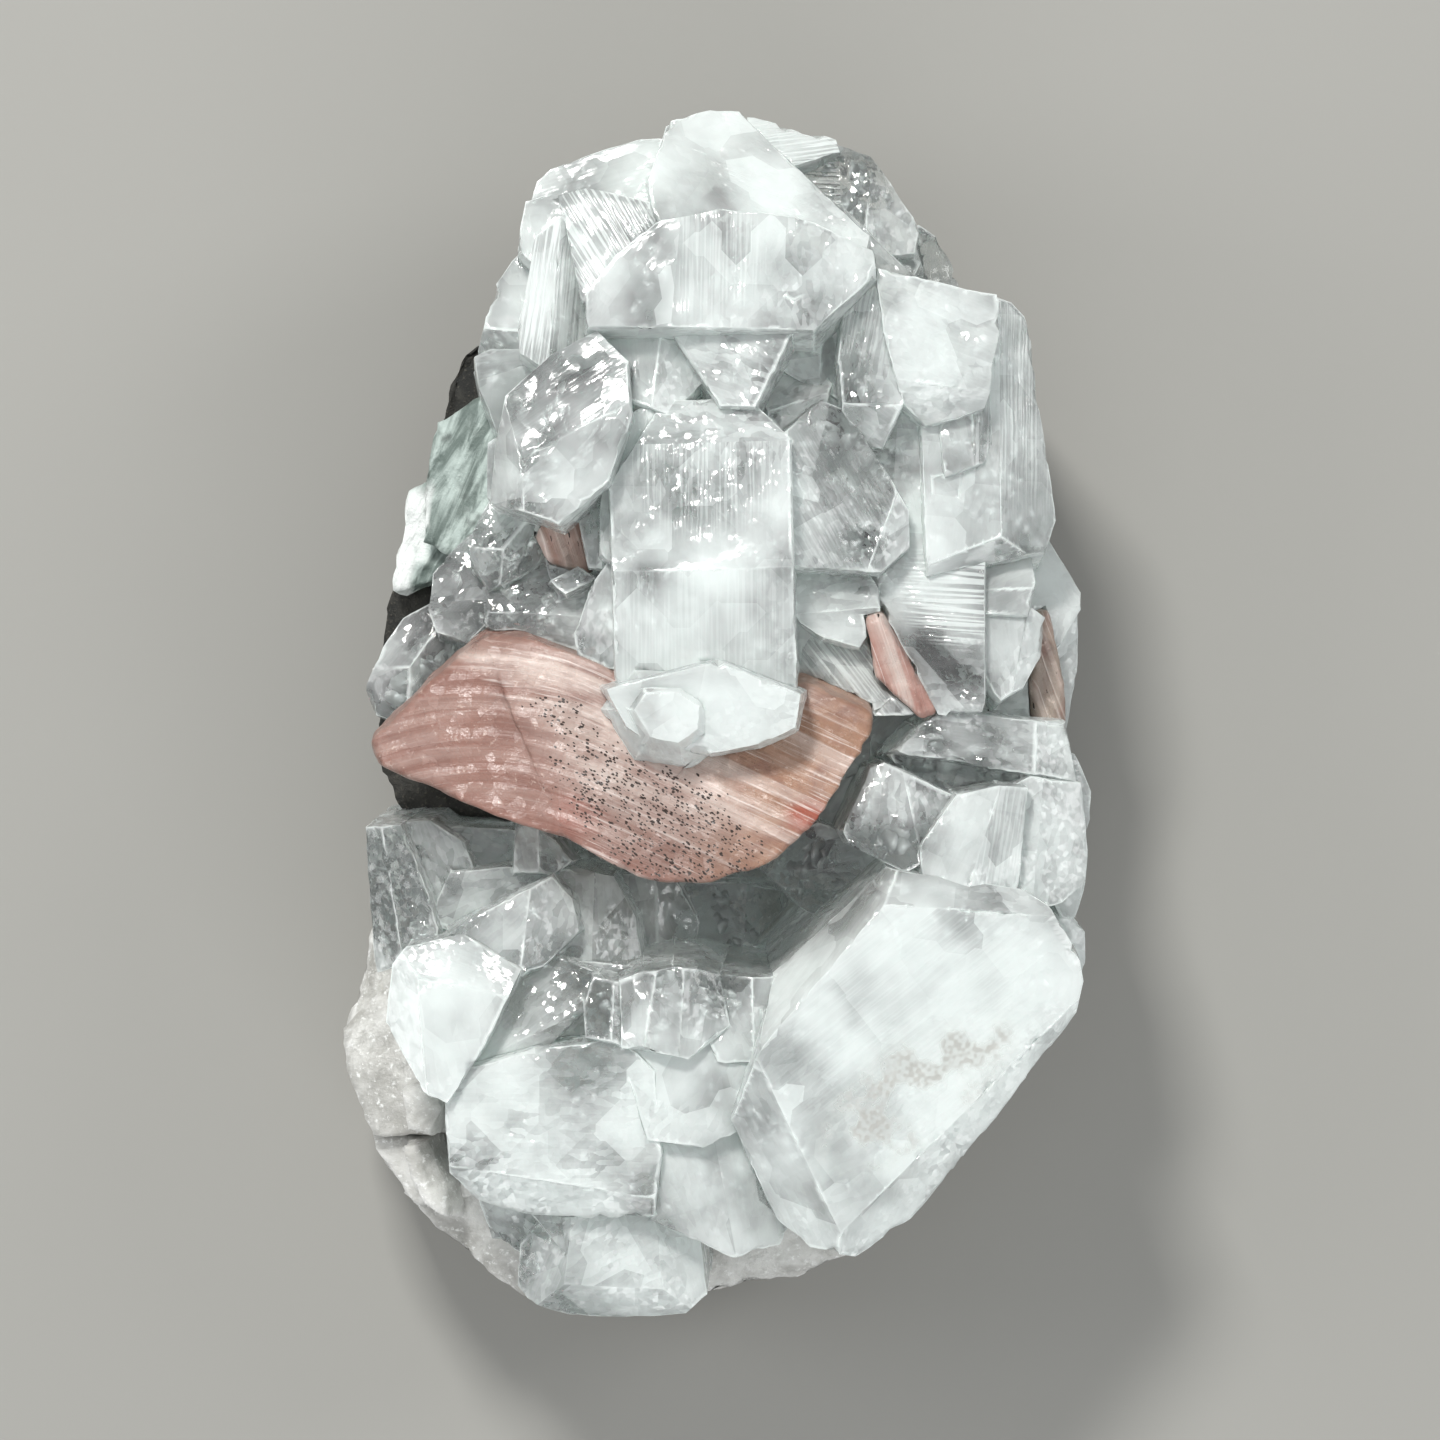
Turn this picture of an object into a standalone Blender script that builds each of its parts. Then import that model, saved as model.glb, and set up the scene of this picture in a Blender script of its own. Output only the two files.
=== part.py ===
"""Apophyllite cluster: a palm-sized specimen lying on its broken back.

Pale crystals have grown together over a chalcedony crust on a remnant of
basalt, with a salmon stilbite sheaf standing out across the middle.
X runs to the right and Y up the display side, Z points out of it.
Every crystal is a block cleaved by flat planes, as its own faces are.
"""

import math
from collections import namedtuple

import bmesh
import bpy
from mathutils import Vector

MM = 0.001
GAP = 0.3
BLOCK_SIDE = 260.0
ON_PLANE = 1e-7
FOCUS_DEPTH = 26.0
FOCUS_PULL = 0.35

# Height of the floor that the piece rests on, and of the top of its crust and of its rock.
REST = 0.0
CRUST_TOP = 9.0
BASALT_TOP = 10.0

Shard = namedtuple("Shard", "outline height rise lean flare depth folds")


def centre_of(outline):
    """The mean of the outline's corners."""
    count = len(outline)
    return (sum(p[0] for p in outline) / count, sum(p[1] for p in outline) / count)


def radiating_lean(outline, height):
    """How far the crystal's axis leans for each millimetre of depth: all axes point below the piece."""
    x, y = centre_of(outline)
    pull = FOCUS_PULL / (height + FOCUS_DEPTH)
    return (-x * pull, -y * pull)


def shard(outline, height, rise=(0.0, 0.0), lean=None, flare=0.06, depth=12.0, folds=()):
    """One crystal, in millimetres: the outline of its front face, the height at its centre and how
    much that height rises along X and Y, how the walls lean and flare on the way down, and its thickness.
    A fold (x1, y1, x2, y2, degrees) falls away that steeply on the right of the line from 1 to 2."""
    if lean is None:
        lean = radiating_lean(outline, height)
    return Shard(outline, height, rise, lean, flare, depth, folds)


def cleave(block, point, outward):
    """Cuts the block along a plane, drops what lies outside it and closes the cut with one flat face."""
    cut = bmesh.ops.bisect_plane(
        block,
        geom=block.verts[:] + block.edges[:] + block.faces[:],
        dist=ON_PLANE,
        plane_co=point,
        plane_no=outward,
        clear_outer=True,
    )
    rim = [part for part in cut["geom_cut"] if isinstance(part, bmesh.types.BMEdge)]
    open_rim = [edge for edge in rim if edge.is_boundary]
    if open_rim:
        bmesh.ops.edgeloop_fill(block, edges=open_rim)


def planes_of(crystal, grow):
    """The crystal's planes as (point, outward normal) in millimetres, each pushed out by grow."""
    outline = list(crystal.outline)
    turns = zip(outline, outline[1:] + outline[:1])
    if sum(a[0] * b[1] - b[0] * a[1] for a, b in turns) < 0:
        outline.reverse()
    middle = centre_of(outline)
    rise_x, rise_y = crystal.rise
    lean_x, lean_y = crystal.lean

    def on_front(x, y):
        return Vector((x, y, crystal.height + rise_x * (x - middle[0]) + rise_y * (y - middle[1])))

    planes = [(on_front(*middle), Vector((-rise_x, -rise_y, 1.0)).normalized())]
    for start, end in zip(outline, outline[1:] + outline[:1]):
        a, b = on_front(*start), on_front(*end)
        away = Vector((b.y - a.y, a.x - b.x, 0.0)).normalized()
        down = Vector((lean_x, lean_y, -1.0)) + crystal.flare * away
        planes.append((a, away_normal(b - a, down, away)))
    for x1, y1, x2, y2, steep in crystal.folds:
        a, b = on_front(x1, y1), on_front(x2, y2)
        away = Vector((b.y - a.y, a.x - b.x, 0.0)).normalized()
        fall = math.radians(steep)
        down = away * math.cos(fall) - Vector((0.0, 0.0, math.sin(fall)))
        planes.append((a, away_normal(b - a, down, away)))
    axis = Vector((lean_x, lean_y, -1.0)).normalized()
    planes.append((on_front(*middle) + axis * crystal.depth, axis))
    return [(point + normal * grow, normal) for point, normal in planes]


def away_normal(along, down, away):
    """The normal of the plane that holds both directions, pointing away from the crystal."""
    normal = along.cross(down).normalized()
    return normal if normal.dot(away + Vector((0.0, 0.0, 0.2))) > 0 else -normal


def cleaved_mesh(name, crystal, grow=0.0):
    """A mesh of the crystal: a large block cut down by each of its planes."""
    block = bmesh.new()
    bmesh.ops.create_cube(block, size=BLOCK_SIDE * MM)
    middle = centre_of(crystal.outline)
    for vert in block.verts:
        vert.co += Vector((middle[0], middle[1], 0.0)) * MM
    for point, normal in planes_of(crystal, grow):
        cleave(block, point * MM, normal)
    bmesh.ops.recalc_face_normals(block, faces=block.faces[:])
    mesh = bpy.data.meshes.new(name)
    block.to_mesh(mesh)
    block.free()
    return mesh


def helper(name, mesh, collection):
    """A hidden object that only cuts or is joined to another."""
    obj = bpy.data.objects.new(name, mesh)
    collection.objects.link(obj)
    obj.hide_render = True
    obj.display_type = "WIRE"
    return obj


def helper_group(name, crystals, grow=0.0):
    """A collection that holds each crystal as a hidden helper."""
    group = bpy.data.collections.new(name)
    bpy.context.scene.collection.children.link(group)
    for index, crystal in enumerate(crystals):
        label = f"{name}_{index:02d}"
        helper(label, cleaved_mesh(label, crystal, grow), group)
    return group


def boolean(obj, operation, group):
    """A Boolean modifier that joins or cuts the object with every helper in the group."""
    modifier = obj.modifiers.new(f"{operation.lower()}_{group.name}", "BOOLEAN")
    modifier.operation = operation
    modifier.operand_type = "COLLECTION"
    modifier.collection = group
    modifier.solver = "EXACT"
    return modifier


def material(name, colour, roughness, transmission=0.0, ior=1.5):
    """A Principled material with one colour."""
    made = bpy.data.materials.new(name)
    made.use_nodes = True
    shader = made.node_tree.nodes["Principled BSDF"]
    shader.inputs["Base Color"].default_value = (*colour, 1.0)
    shader.inputs["Roughness"].default_value = roughness
    shader.inputs["Metallic"].default_value = 0.0
    shader.inputs["Transmission Weight"].default_value = transmission
    shader.inputs["IOR"].default_value = ior
    return made


def piece(name, crystals, finish, cutters=()):
    """A named piece: its crystals joined in one, less its neighbours grown by the gap."""
    obj = bpy.data.objects.new(name, cleaved_mesh(name, crystals[0]))
    bpy.context.scene.collection.objects.link(obj)
    obj.data.materials.append(finish)
    if len(crystals) > 1:
        boolean(obj, "UNION", helper_group(f"{name}_grown", crystals[1:]))
    if cutters:
        boolean(obj, "DIFFERENCE", helper_group(f"{name}_clear", cutters, GAP))
    return obj


# The crown: the pale faces at the top of the display side.
def crown_crystals():
    return [
        shard(
            [(-13.1, 30.2), (-12.9, 31.5), (-11.9, 35.0), (-11.0, 35.8), (-7.8, 36.9), (-5.0, 37.7),
             (-2.0, 37.9), (1.0, 31.0), (-9.0, 27.0)],
            23.5, (0.16, -0.42), depth=14,
        ),
        shard(
            [(-3.4, 38.1), (-3.0, 38.9), (-0.5, 39.6), (1.3, 39.5), (9.8, 31.2), (9.6, 30.0),
             (5.0, 27.0), (-4.0, 31.8), (-4.5, 35.0)],
            26.0, (-0.08, -0.5), depth=15,
        ),
        shard(
            [(1.6, 37.4), (3.8, 35.6), (7.9, 37.0), (7.7, 37.7), (2.0, 39.2)],
            23.6, (-0.1, -0.6), flare=0.1, depth=9,
        ),
        shard(
            [(4.0, 35.0), (5.0, 37.0), (7.9, 37.4), (8.7, 37.2), (10.0, 36.7), (13.2, 32.3),
             (12.9, 30.6), (9.6, 30.0)],
            23.0, (-0.1, -0.3), depth=12,
            folds=[(7.9, 37.6, 8.2, 32.0, 12), (9.6, 31.0, 10.2, 36.9, 20)],
        ),
        shard(
            [(9.6, 31.1), (12.8, 31.5), (13.2, 30.0), (12.4, 28.6), (10.2, 28.6)],
            22.8, (0.0, -0.35), flare=0.15, depth=10,
            folds=[(11.0, 28.4, 11.5, 31.6, 30)],
        ),
        shard(
            [(12.8, 31.4), (13.3, 32.2), (14.4, 31.5), (15.2, 30.0), (16.3, 27.4), (14.0, 26.8),
             (11.6, 27.6)],
            18.6, (-0.35, -0.3), depth=10,
            folds=[(13.8, 27.0, 14.2, 31.8, 24)],
        ),
        shard(
            [(-3.6, 37.6), (-3.3, 38.6), (-2.3, 39.0), (-0.6, 38.9), (-1.2, 37.2)],
            22.6, (0.0, -0.6), flare=0.15, depth=6,
        ),
    ]


# The brow: the wide face under the crown and the arrow that points down from it.
def brow_crystals():
    return [
        shard(
            [(-8.4, 25.3), (-8.5, 27.4), (-6.6, 29.9), (-4.0, 32.0), (0.0, 32.8), (2.8, 32.7),
             (5.7, 32.3), (10.0, 30.3), (10.1, 28.9), (6.2, 25.2)],
            29.5, (-0.03, -0.16), depth=14,
            folds=[(-3.2, 24.0, -2.4, 33.0, 4), (3.4, 24.0, 4.2, 33.0, 5), (6.6, 25.0, 8.4, 31.6, 17)],
        ),
        shard(
            [(-3.3, 25.6), (5.0, 25.3), (2.4, 20.1), (0.2, 20.2)],
            29.0, (0.03, -0.14), flare=0.08, depth=12,
        ),
        shard(
            [(-7.8, 25.6), (-3.0, 26.0), (-0.6, 22.5), (-3.2, 19.6), (-6.4, 20.8)],
            28.2, (0.05, -0.2), flare=0.08, depth=12,
            folds=[(-4.4, 19.5, -3.6, 26.2, 18)],
        ),
    ]


# The upper left: striated blades beside the crown and the rounded shoulder.
def upper_left_crystals():
    return [
        shard(
            [(-10.4, 33.9), (-8.6, 34.3), (-4.6, 33.4), (-4.0, 31.8), (-7.9, 26.8), (-8.8, 27.0)],
            28.4, (0.12, -0.3), flare=0.05, depth=12,
        ),
        shard(
            [(-11.9, 31.2), (-10.1, 32.6), (-9.0, 30.2), (-8.5, 27.8), (-8.0, 25.1), (-9.5, 23.9),
             (-11.6, 22.8), (-12.9, 23.6), (-13.0, 25.4)],
            28.6, (0.14, -0.12), depth=12,
            folds=[(-11.2, 22.4, -10.2, 33.0, 38)],
        ),
        shard(
            [(-14.5, 28.2), (-15.7, 24.0), (-15.6, 22.4), (-12.4, 22.8), (-10.6, 26.0), (-11.4, 32.4)],
            23.8, (0.42, -0.12), depth=12,
            folds=[(-16.0, 25.4, -12.0, 25.0, 16)],
        ),
        shard(
            [(-15.9, 23.4), (-15.6, 21.5), (-14.3, 18.7), (-11.0, 22.6), (-13.0, 23.9), (-15.0, 23.8)],
            25.0, (0.25, 0.1), flare=0.1, depth=11,
            folds=[(-15.9, 21.9, -12.6, 22.9, 30)],
        ),
        shard(
            [(-12.6, 33.6), (-10.0, 34.2), (-9.2, 31.0), (-11.4, 29.0), (-13.1, 30.4)],
            26.6, (0.3, -0.3), flare=0.06, depth=10,
        ),
    ]


# The pointed tablet that overhangs on the left, with its mirror-bright lower corner.
def pointed_tablet():
    return [
        shard(
            [(-14.3, 18.8), (-15.0, 14.0), (-10.4, 12.4), (-7.2, 15.2), (-5.8, 19.5), (-6.0, 23.0),
             (-8.0, 25.0), (-11.0, 23.5), (-13.9, 20.8)],
            31.6, (0.05, -0.12), flare=-0.02, depth=13,
            folds=[(-5.4, 20.4, -13.6, 16.2, 20), (-13.1, 22.0, -12.6, 12.0, 46)],
        ),
        shard(
            [(-14.9, 17.6), (-15.0, 14.1), (-13.2, 13.3), (-11.9, 15.8), (-13.2, 18.6)],
            29.6, (0.3, 0.2), flare=0.02, depth=10,
        ),
    ]


# The large square block at the centre, its foot on the stilbite and its side columns.
def centre_crystals():
    return [
        shard(
            [(-6.5, -0.2), (5.1, -0.2), (4.6, 18.0), (2.0, 20.6), (-3.5, 20.6), (-7.0, 14.8)],
            31.0, (0.02, 0.03), flare=0.03, depth=18,
            folds=[(8.0, 9.6, -8.0, 9.2, 11), (8.0, 13.4, -8.0, 13.0, 21)],
        ),
        shard(
            [(-7.2, 1.5), (-5.9, -0.8), (-3.9, -2.1), (-0.5, -2.5), (2.6, -2.0), (5.0, -0.9),
             (5.3, 1.2), (0.0, 3.2)],
            32.6, (0.0, 0.16), flare=0.1, depth=14,
        ),
        shard(
            [(-5.4, 0.2), (-4.7, 1.3), (-2.6, 1.3), (-1.3, 0.4), (-1.4, -1.0), (-2.6, -1.9),
             (-4.4, -1.5)],
            33.4, (0.0, 0.02), flare=0.5, depth=8,
        ),
        shard(
            [(-9.3, 5.2), (-8.2, 8.2), (-6.9, 10.2), (-5.4, 10.2), (-5.4, 0.8), (-7.2, 1.0),
             (-8.8, 2.6)],
            28.4, (0.3, -0.02), depth=13,
        ),
        shard(
            [(-7.6, 15.6), (-6.0, 19.6), (-3.0, 20.4), (-2.6, 14.0), (-6.6, 9.8), (-7.6, 10.4)],
            28.8, (0.1, -0.12), flare=0.08, depth=12,
            folds=[(-5.2, 9.6, -4.6, 20.6, 16)],
        ),
        shard(
            [(4.3, 9.7), (4.2, 18.2), (6.8, 20.4), (8.4, 19.7), (11.4, 15.1), (12.4, 13.3),
             (12.4, 11.0), (10.6, 9.4)],
            27.2, (-0.18, -0.1), depth=14,
            folds=[(9.4, 8.6, 12.0, 15.2, 20)],
        ),
        shard(
            [(3.0, 21.8), (5.0, 22.9), (6.3, 23.0), (7.4, 21.6), (6.8, 19.4), (4.4, 18.0), (3.4, 19.4)],
            25.6, (-0.1, -0.16), flare=0.1, depth=10,
            folds=[(6.9, 20.9, 3.6, 19.9, 34)],
        ),
        shard(
            [(4.3, 25.4), (8.8, 28.0), (8.9, 23.5), (7.9, 20.8), (4.2, 22.6)],
            24.6, (0.0, -0.15), flare=0.06, depth=11,
            folds=[(6.6, 20.4, 6.9, 27.6, 20)],
        ),
    ]


# The right side: tall columns with vertical faces and the two crystals that hang in front of them.
def right_crystals():
    return [
        shard(
            [(13.9, 9.2), (21.6, 11.0), (22.3, 13.0), (20.3, 25.8), (19.3, 26.9), (17.8, 27.4),
             (13.0, 27.6)],
            25.4, (-0.06, -0.02), depth=15,
            folds=[(18.6, 9.0, 18.4, 28.0, 34), (17.0, 11.0, 21.8, 12.9, 32)],
        ),
        shard(
            [(10.4, 16.4), (12.5, 10.1), (14.0, 9.3), (15.5, 9.6), (15.5, 21.4), (10.6, 21.0)],
            24.4, (0.0, -0.02), depth=14,
            folds=[(13.9, 22.0, 13.9, 9.0, 28)],
        ),
        shard(
            [(8.6, 28.4), (8.0, 23.0), (8.3, 19.9), (9.5, 17.9), (10.8, 17.7), (12.1, 20.3),
             (11.8, 24.0), (10.6, 28.8)],
            27.2, (0.1, -0.1), flare=0.02, depth=13,
            folds=[(7.9, 20.4, 12.4, 20.2, 22)],
        ),
        shard(
            [(11.0, 25.0), (12.1, 20.7), (13.8, 19.2), (15.8, 19.6), (17.5, 20.2), (18.3, 25.0),
             (18.2, 27.3), (10.5, 29.0)],
            27.8, (-0.02, -0.1), flare=0.0, depth=13,
            folds=[(11.6, 21.9, 18.0, 21.0, 30)],
        ),
        shard(
            [(15.6, 21.2), (17.9, 22.6), (18.0, 18.0), (17.4, 16.6), (15.0, 15.6), (14.6, 18.6)],
            26.0, (0.0, -0.06), flare=0.08, depth=10,
            folds=[(16.6, 15.2, 16.9, 22.8, 25)],
        ),
        shard(
            [(14.0, 15.4), (17.6, 16.2), (17.9, 12.0), (16.8, 10.0), (14.2, 10.2)],
            25.6, (-0.05, 0.04), flare=0.1, depth=10,
            folds=[(15.6, 9.4, 15.9, 16.8, 22)],
        ),
        shard(
            [(13.0, 9.8), (15.0, 10.3), (20.5, 11.0), (20.8, 8.6), (20.3, 6.5), (14.6, 6.7),
             (13.6, 8.2)],
            24.2, (-0.06, -0.16), flare=0.12, depth=11,
            folds=[(21.0, 8.2, 13.0, 7.9, 30)],
        ),
        shard(
            [(20.3, 11.4), (21.6, 12.6), (24.0, 8.0), (23.9, 6.9), (21.4, 3.0), (19.8, 5.6)],
            19.4, (-0.38, -0.02), depth=12,
            folds=[(24.4, 7.2, 20.2, 6.4, 30)],
        ),
        shard(
            [(21.0, 6.4), (23.8, 7.4), (23.7, 2.8), (22.9, -1.2), (20.0, -0.8)],
            17.8, (-0.32, 0.05), depth=11,
            folds=[(22.2, -1.6, 22.4, 7.0, 20)],
        ),
        shard(
            [(17.0, 5.2), (17.3, 3.0), (18.6, 0.9), (20.0, 1.8), (21.2, 3.8), (21.4, 6.2), (20.2, 7.0),
             (17.5, 6.4)],
            24.0, (-0.1, -0.05), flare=0.12, depth=11,
            folds=[(19.2, 0.8, 20.4, 6.8, 28)],
        ),
        shard(
            [(12.6, 4.4), (15.0, 5.3), (17.4, 5.2), (17.9, 1.2), (17.2, -0.2), (14.8, -0.4),
             (12.6, 2.4)],
            21.6, (0.0, -0.1), flare=0.08, depth=10,
        ),
        shard(
            [(10.2, 9.5), (13.6, 9.7), (14.6, 7.0), (13.8, 4.9), (12.0, 4.2), (10.5, 7.2)],
            23.6, (-0.05, -0.22), flare=0.1, depth=10,
            folds=[(14.6, 7.3, 10.0, 6.8, 28)],
        ),
        shard(
            [(4.9, 9.8), (8.9, 10.1), (9.9, 9.2), (10.4, 8.0), (10.6, 6.5), (9.2, 4.4), (7.0, 5.0),
             (4.9, 6.4)],
            26.4, (-0.1, -0.2), flare=0.08, depth=12,
            folds=[(10.8, 6.9, 4.6, 6.4, 26)],
        ),
        shard(
            [(4.9, 6.6), (7.2, 6.2), (8.9, 3.4), (8.0, 0.8), (4.9, 0.6)],
            25.0, (-0.16, 0.05), flare=0.05, depth=11,
            folds=[(6.9, 0.2, 6.8, 6.6, 32)],
        ),
        shard(
            [(7.8, 3.8), (9.6, 4.9), (10.8, 3.8), (10.8, 1.6), (7.8, 0.8)],
            22.8, (0.1, 0.05), flare=0.1, depth=9,
        ),
        shard(
            [(5.8, 1.1), (7.4, 0.3), (9.4, -0.5), (11.6, 1.1), (11.0, 2.2), (8.0, 2.0)],
            25.4, (-0.05, -0.3), flare=0.1, depth=9,
        ),
    ]


# The small tilted tablet and the sparkling broken blocks behind it.
def tablet_crystals():
    return [
        shard(
            [(10.1, -3.7), (10.9, -3.4), (15.6, -5.5), (15.0, -7.6), (13.5, -9.8), (12.3, -10.4),
             (8.7, -8.6), (8.3, -7.8)],
            26.8, (-0.03, -0.16), flare=0.02, depth=10,
            folds=[(13.4, -9.9, 12.0, -3.6, 17)],
        ),
        shard(
            [(13.2, -8.8), (15.7, -5.4), (18.5, -4.9), (20.2, -5.0), (19.6, -12.0), (13.6, -11.6)],
            27.2, (-0.02, -0.1), flare=0.06, depth=13,
            folds=[(16.2, -12.0, 18.6, -4.6, 15)],
        ),
        shard(
            [(18.7, -5.1), (20.6, -4.3), (23.8, -4.7), (24.1, -7.0), (24.2, -9.0), (24.1, -11.0),
             (22.6, -12.4), (21.3, -12.8), (19.2, -12.0)],
            25.0, (-0.24, -0.12), flare=0.05, depth=13,
            folds=[(20.6, -12.8, 21.4, -4.0, 20)],
        ),
        shard(
            [(11.4, -2.8), (15.0, -2.6), (19.0, -2.4), (21.0, -3.6), (20.0, -5.2), (15.6, -5.8),
             (13.6, -5.0)],
            24.0, (-0.02, 0.18), flare=0.05, depth=11,
        ),
        shard(
            [(14.8, 0.0), (22.8, -0.8), (23.2, -2.2), (23.5, -4.4), (12.0, -2.5), (13.2, -1.0)],
            24.6, (-0.16, -0.3), flare=0.1, depth=12,
            folds=[(20.8, -4.2, 21.0, 0.0, 24)],
        ),
        shard(
            [(22.4, -0.8), (23.8, -3.4), (24.6, -5.2), (24.5, -7.0), (23.7, -9.2), (22.0, -9.0),
             (21.6, -4.0)],
            20.6, (-0.5, 0.0), depth=11,
            folds=[(25.0, -5.6, 21.4, -4.8, 16)],
        ),
        shard(
            [(22.2, -12.2), (23.1, -10.8), (24.2, -11.2), (23.6, -13.5), (22.8, -13.4)],
            20.4, (-0.3, -0.1), flare=0.02, depth=9,
        ),
        shard(
            [(21.4, -12.2), (22.6, -12.8), (24.3, -14.6), (24.3, -16.6), (23.8, -18.6), (20.6, -16.0)],
            17.0, (-0.3, 0.0), depth=10,
            folds=[(24.8, -16.0, 21.0, -14.8, 18)],
        ),
        shard(
            [(9.6, -0.9), (11.2, 0.4), (14.2, -0.2), (13.2, -1.6), (11.2, -3.4), (8.4, -4.2)],
            20.6, (0.1, 0.1), flare=0.1, depth=10,
        ),
        shard(
            [(7.0, -4.6), (8.8, -2.6), (10.4, -3.6), (8.4, -8.4), (6.0, -8.0)],
            19.6, (0.1, 0.0), flare=0.1, depth=9,
        ),
    ]


# The long milky crystal at the lower right, the largest of all.
def long_crystal():
    return [
        shard(
            [(11.3, -10.5), (20.0, -11.8), (21.6, -12.8), (23.5, -15.8), (23.9, -17.6), (23.4, -19.6),
             (18.2, -26.6), (12.6, -33.2), (9.0, -35.6), (6.2, -35.1), (4.2, -33.4), (1.2, -26.9),
             (4.1, -17.8)],
            28.6, (-0.14, 0.02), flare=0.0, depth=20,
            folds=[(7.0, -35.0, 23.6, -18.8, 27), (22.4, -13.4, 11.0, -12.6, 30),
                   (11.2, -12.2, 4.9, -19.6, 58), (3.6, -24.8, 8.0, -34.0, 27)],
        ),
    ]


# The lower left: a milky block, a clear window, the sparkling plate and the blocky foot.
def lower_left_crystals():
    return [
        shard(
            [(-21.4, -16.6), (-20.4, -15.5), (-16.8, -14.7), (-13.0, -16.9), (-15.9, -22.7),
             (-17.8, -25.5), (-19.0, -25.2), (-21.8, -20.4)],
            27.6, (0.06, -0.1), flare=0.02, depth=14,
            folds=[(-12.6, -18.8, -22.2, -16.9, 18), (-19.8, -15.0, -19.0, -26.0, 22)],
        ),
        shard(
            [(-13.4, -17.2), (-11.4, -16.2), (-8.0, -17.3), (-8.4, -19.2), (-12.0, -22.6),
             (-16.2, -23.6), (-15.4, -19.4)],
            26.4, (0.04, 0.12), flare=0.05, depth=12,
            folds=[(-7.6, -19.0, -16.4, -23.2, 22)],
        ),
        shard(
            [(-17.9, -23.8), (-12.0, -22.2), (-6.2, -21.5), (-4.2, -23.5), (-3.8, -29.0), (-4.3, -33.0),
             (-9.0, -33.3), (-12.6, -33.0), (-15.8, -32.1), (-17.5, -30.2)],
            27.4, (0.02, 0.02), flare=0.02, depth=15,
            folds=[(-18.0, -29.6, -3.6, -31.9, 34)],
        ),
        shard(
            [(-6.6, -21.4), (-4.0, -20.6), (3.6, -21.4), (1.6, -27.2), (-1.0, -28.4), (-4.6, -28.0)],
            27.4, (-0.05, -0.06), flare=0.03, depth=14,
        ),
        shard(
            [(-8.1, -17.4), (-6.3, -17.8), (-4.6, -19.5), (-5.5, -21.9), (-8.6, -21.2), (-8.8, -19.0)],
            27.6, (0.0, -0.2), flare=0.06, depth=12,
            folds=[(-7.0, -22.0, -6.8, -17.2, 18)],
        ),
        shard(
            [(-6.4, -17.7), (-4.9, -17.1), (-3.0, -16.8), (-1.4, -16.9), (0.0, -17.3), (0.6, -20.5),
             (-2.0, -22.6), (-6.2, -21.9)],
            28.0, (-0.02, -0.16), flare=0.06, depth=12,
            folds=[(-2.6, -23.0, -2.2, -16.2, 14), (-3.9, -16.4, -5.0, -22.6, 16)],
        ),
        shard(
            [(-0.4, -17.3), (4.2, -17.6), (4.9, -19.4), (3.2, -22.9), (0.0, -22.8), (-1.2, -20.0)],
            27.2, (0.03, -0.14), flare=0.06, depth=12,
            folds=[(2.4, -23.0, 2.2, -17.0, 20)],
        ),
        shard(
            [(-15.8, -31.6), (-11.6, -32.8), (-11.6, -34.2), (-12.9, -35.6), (-14.8, -34.6)],
            22.0, (0.1, 0.2), flare=0.1, depth=10,
        ),
        shard(
            [(-13.2, -38.1), (-13.0, -35.4), (-11.6, -33.6), (-8.8, -33.0), (-4.4, -32.8),
             (-1.4, -34.2), (-0.9, -38.5), (-2.2, -39.7), (-4.5, -39.9), (-9.8, -39.9), (-12.3, -39.0)],
            24.4, (0.02, 0.14), flare=0.0, depth=14,
            folds=[(-13.4, -37.4, -1.6, -38.0, 34), (-9.6, -33.0, -10.4, -40.2, 26),
                   (-3.4, -40.0, -4.2, -33.0, 20)],
        ),
        shard(
            [(-4.2, -26.6), (1.4, -26.4), (4.6, -33.6), (4.0, -35.0), (1.0, -35.7), (-4.3, -33.2)],
            26.2, (-0.06, 0.04), flare=0.04, depth=12,
            folds=[(1.2, -35.8, -0.6, -26.0, 14)],
        ),
    ]


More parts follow.
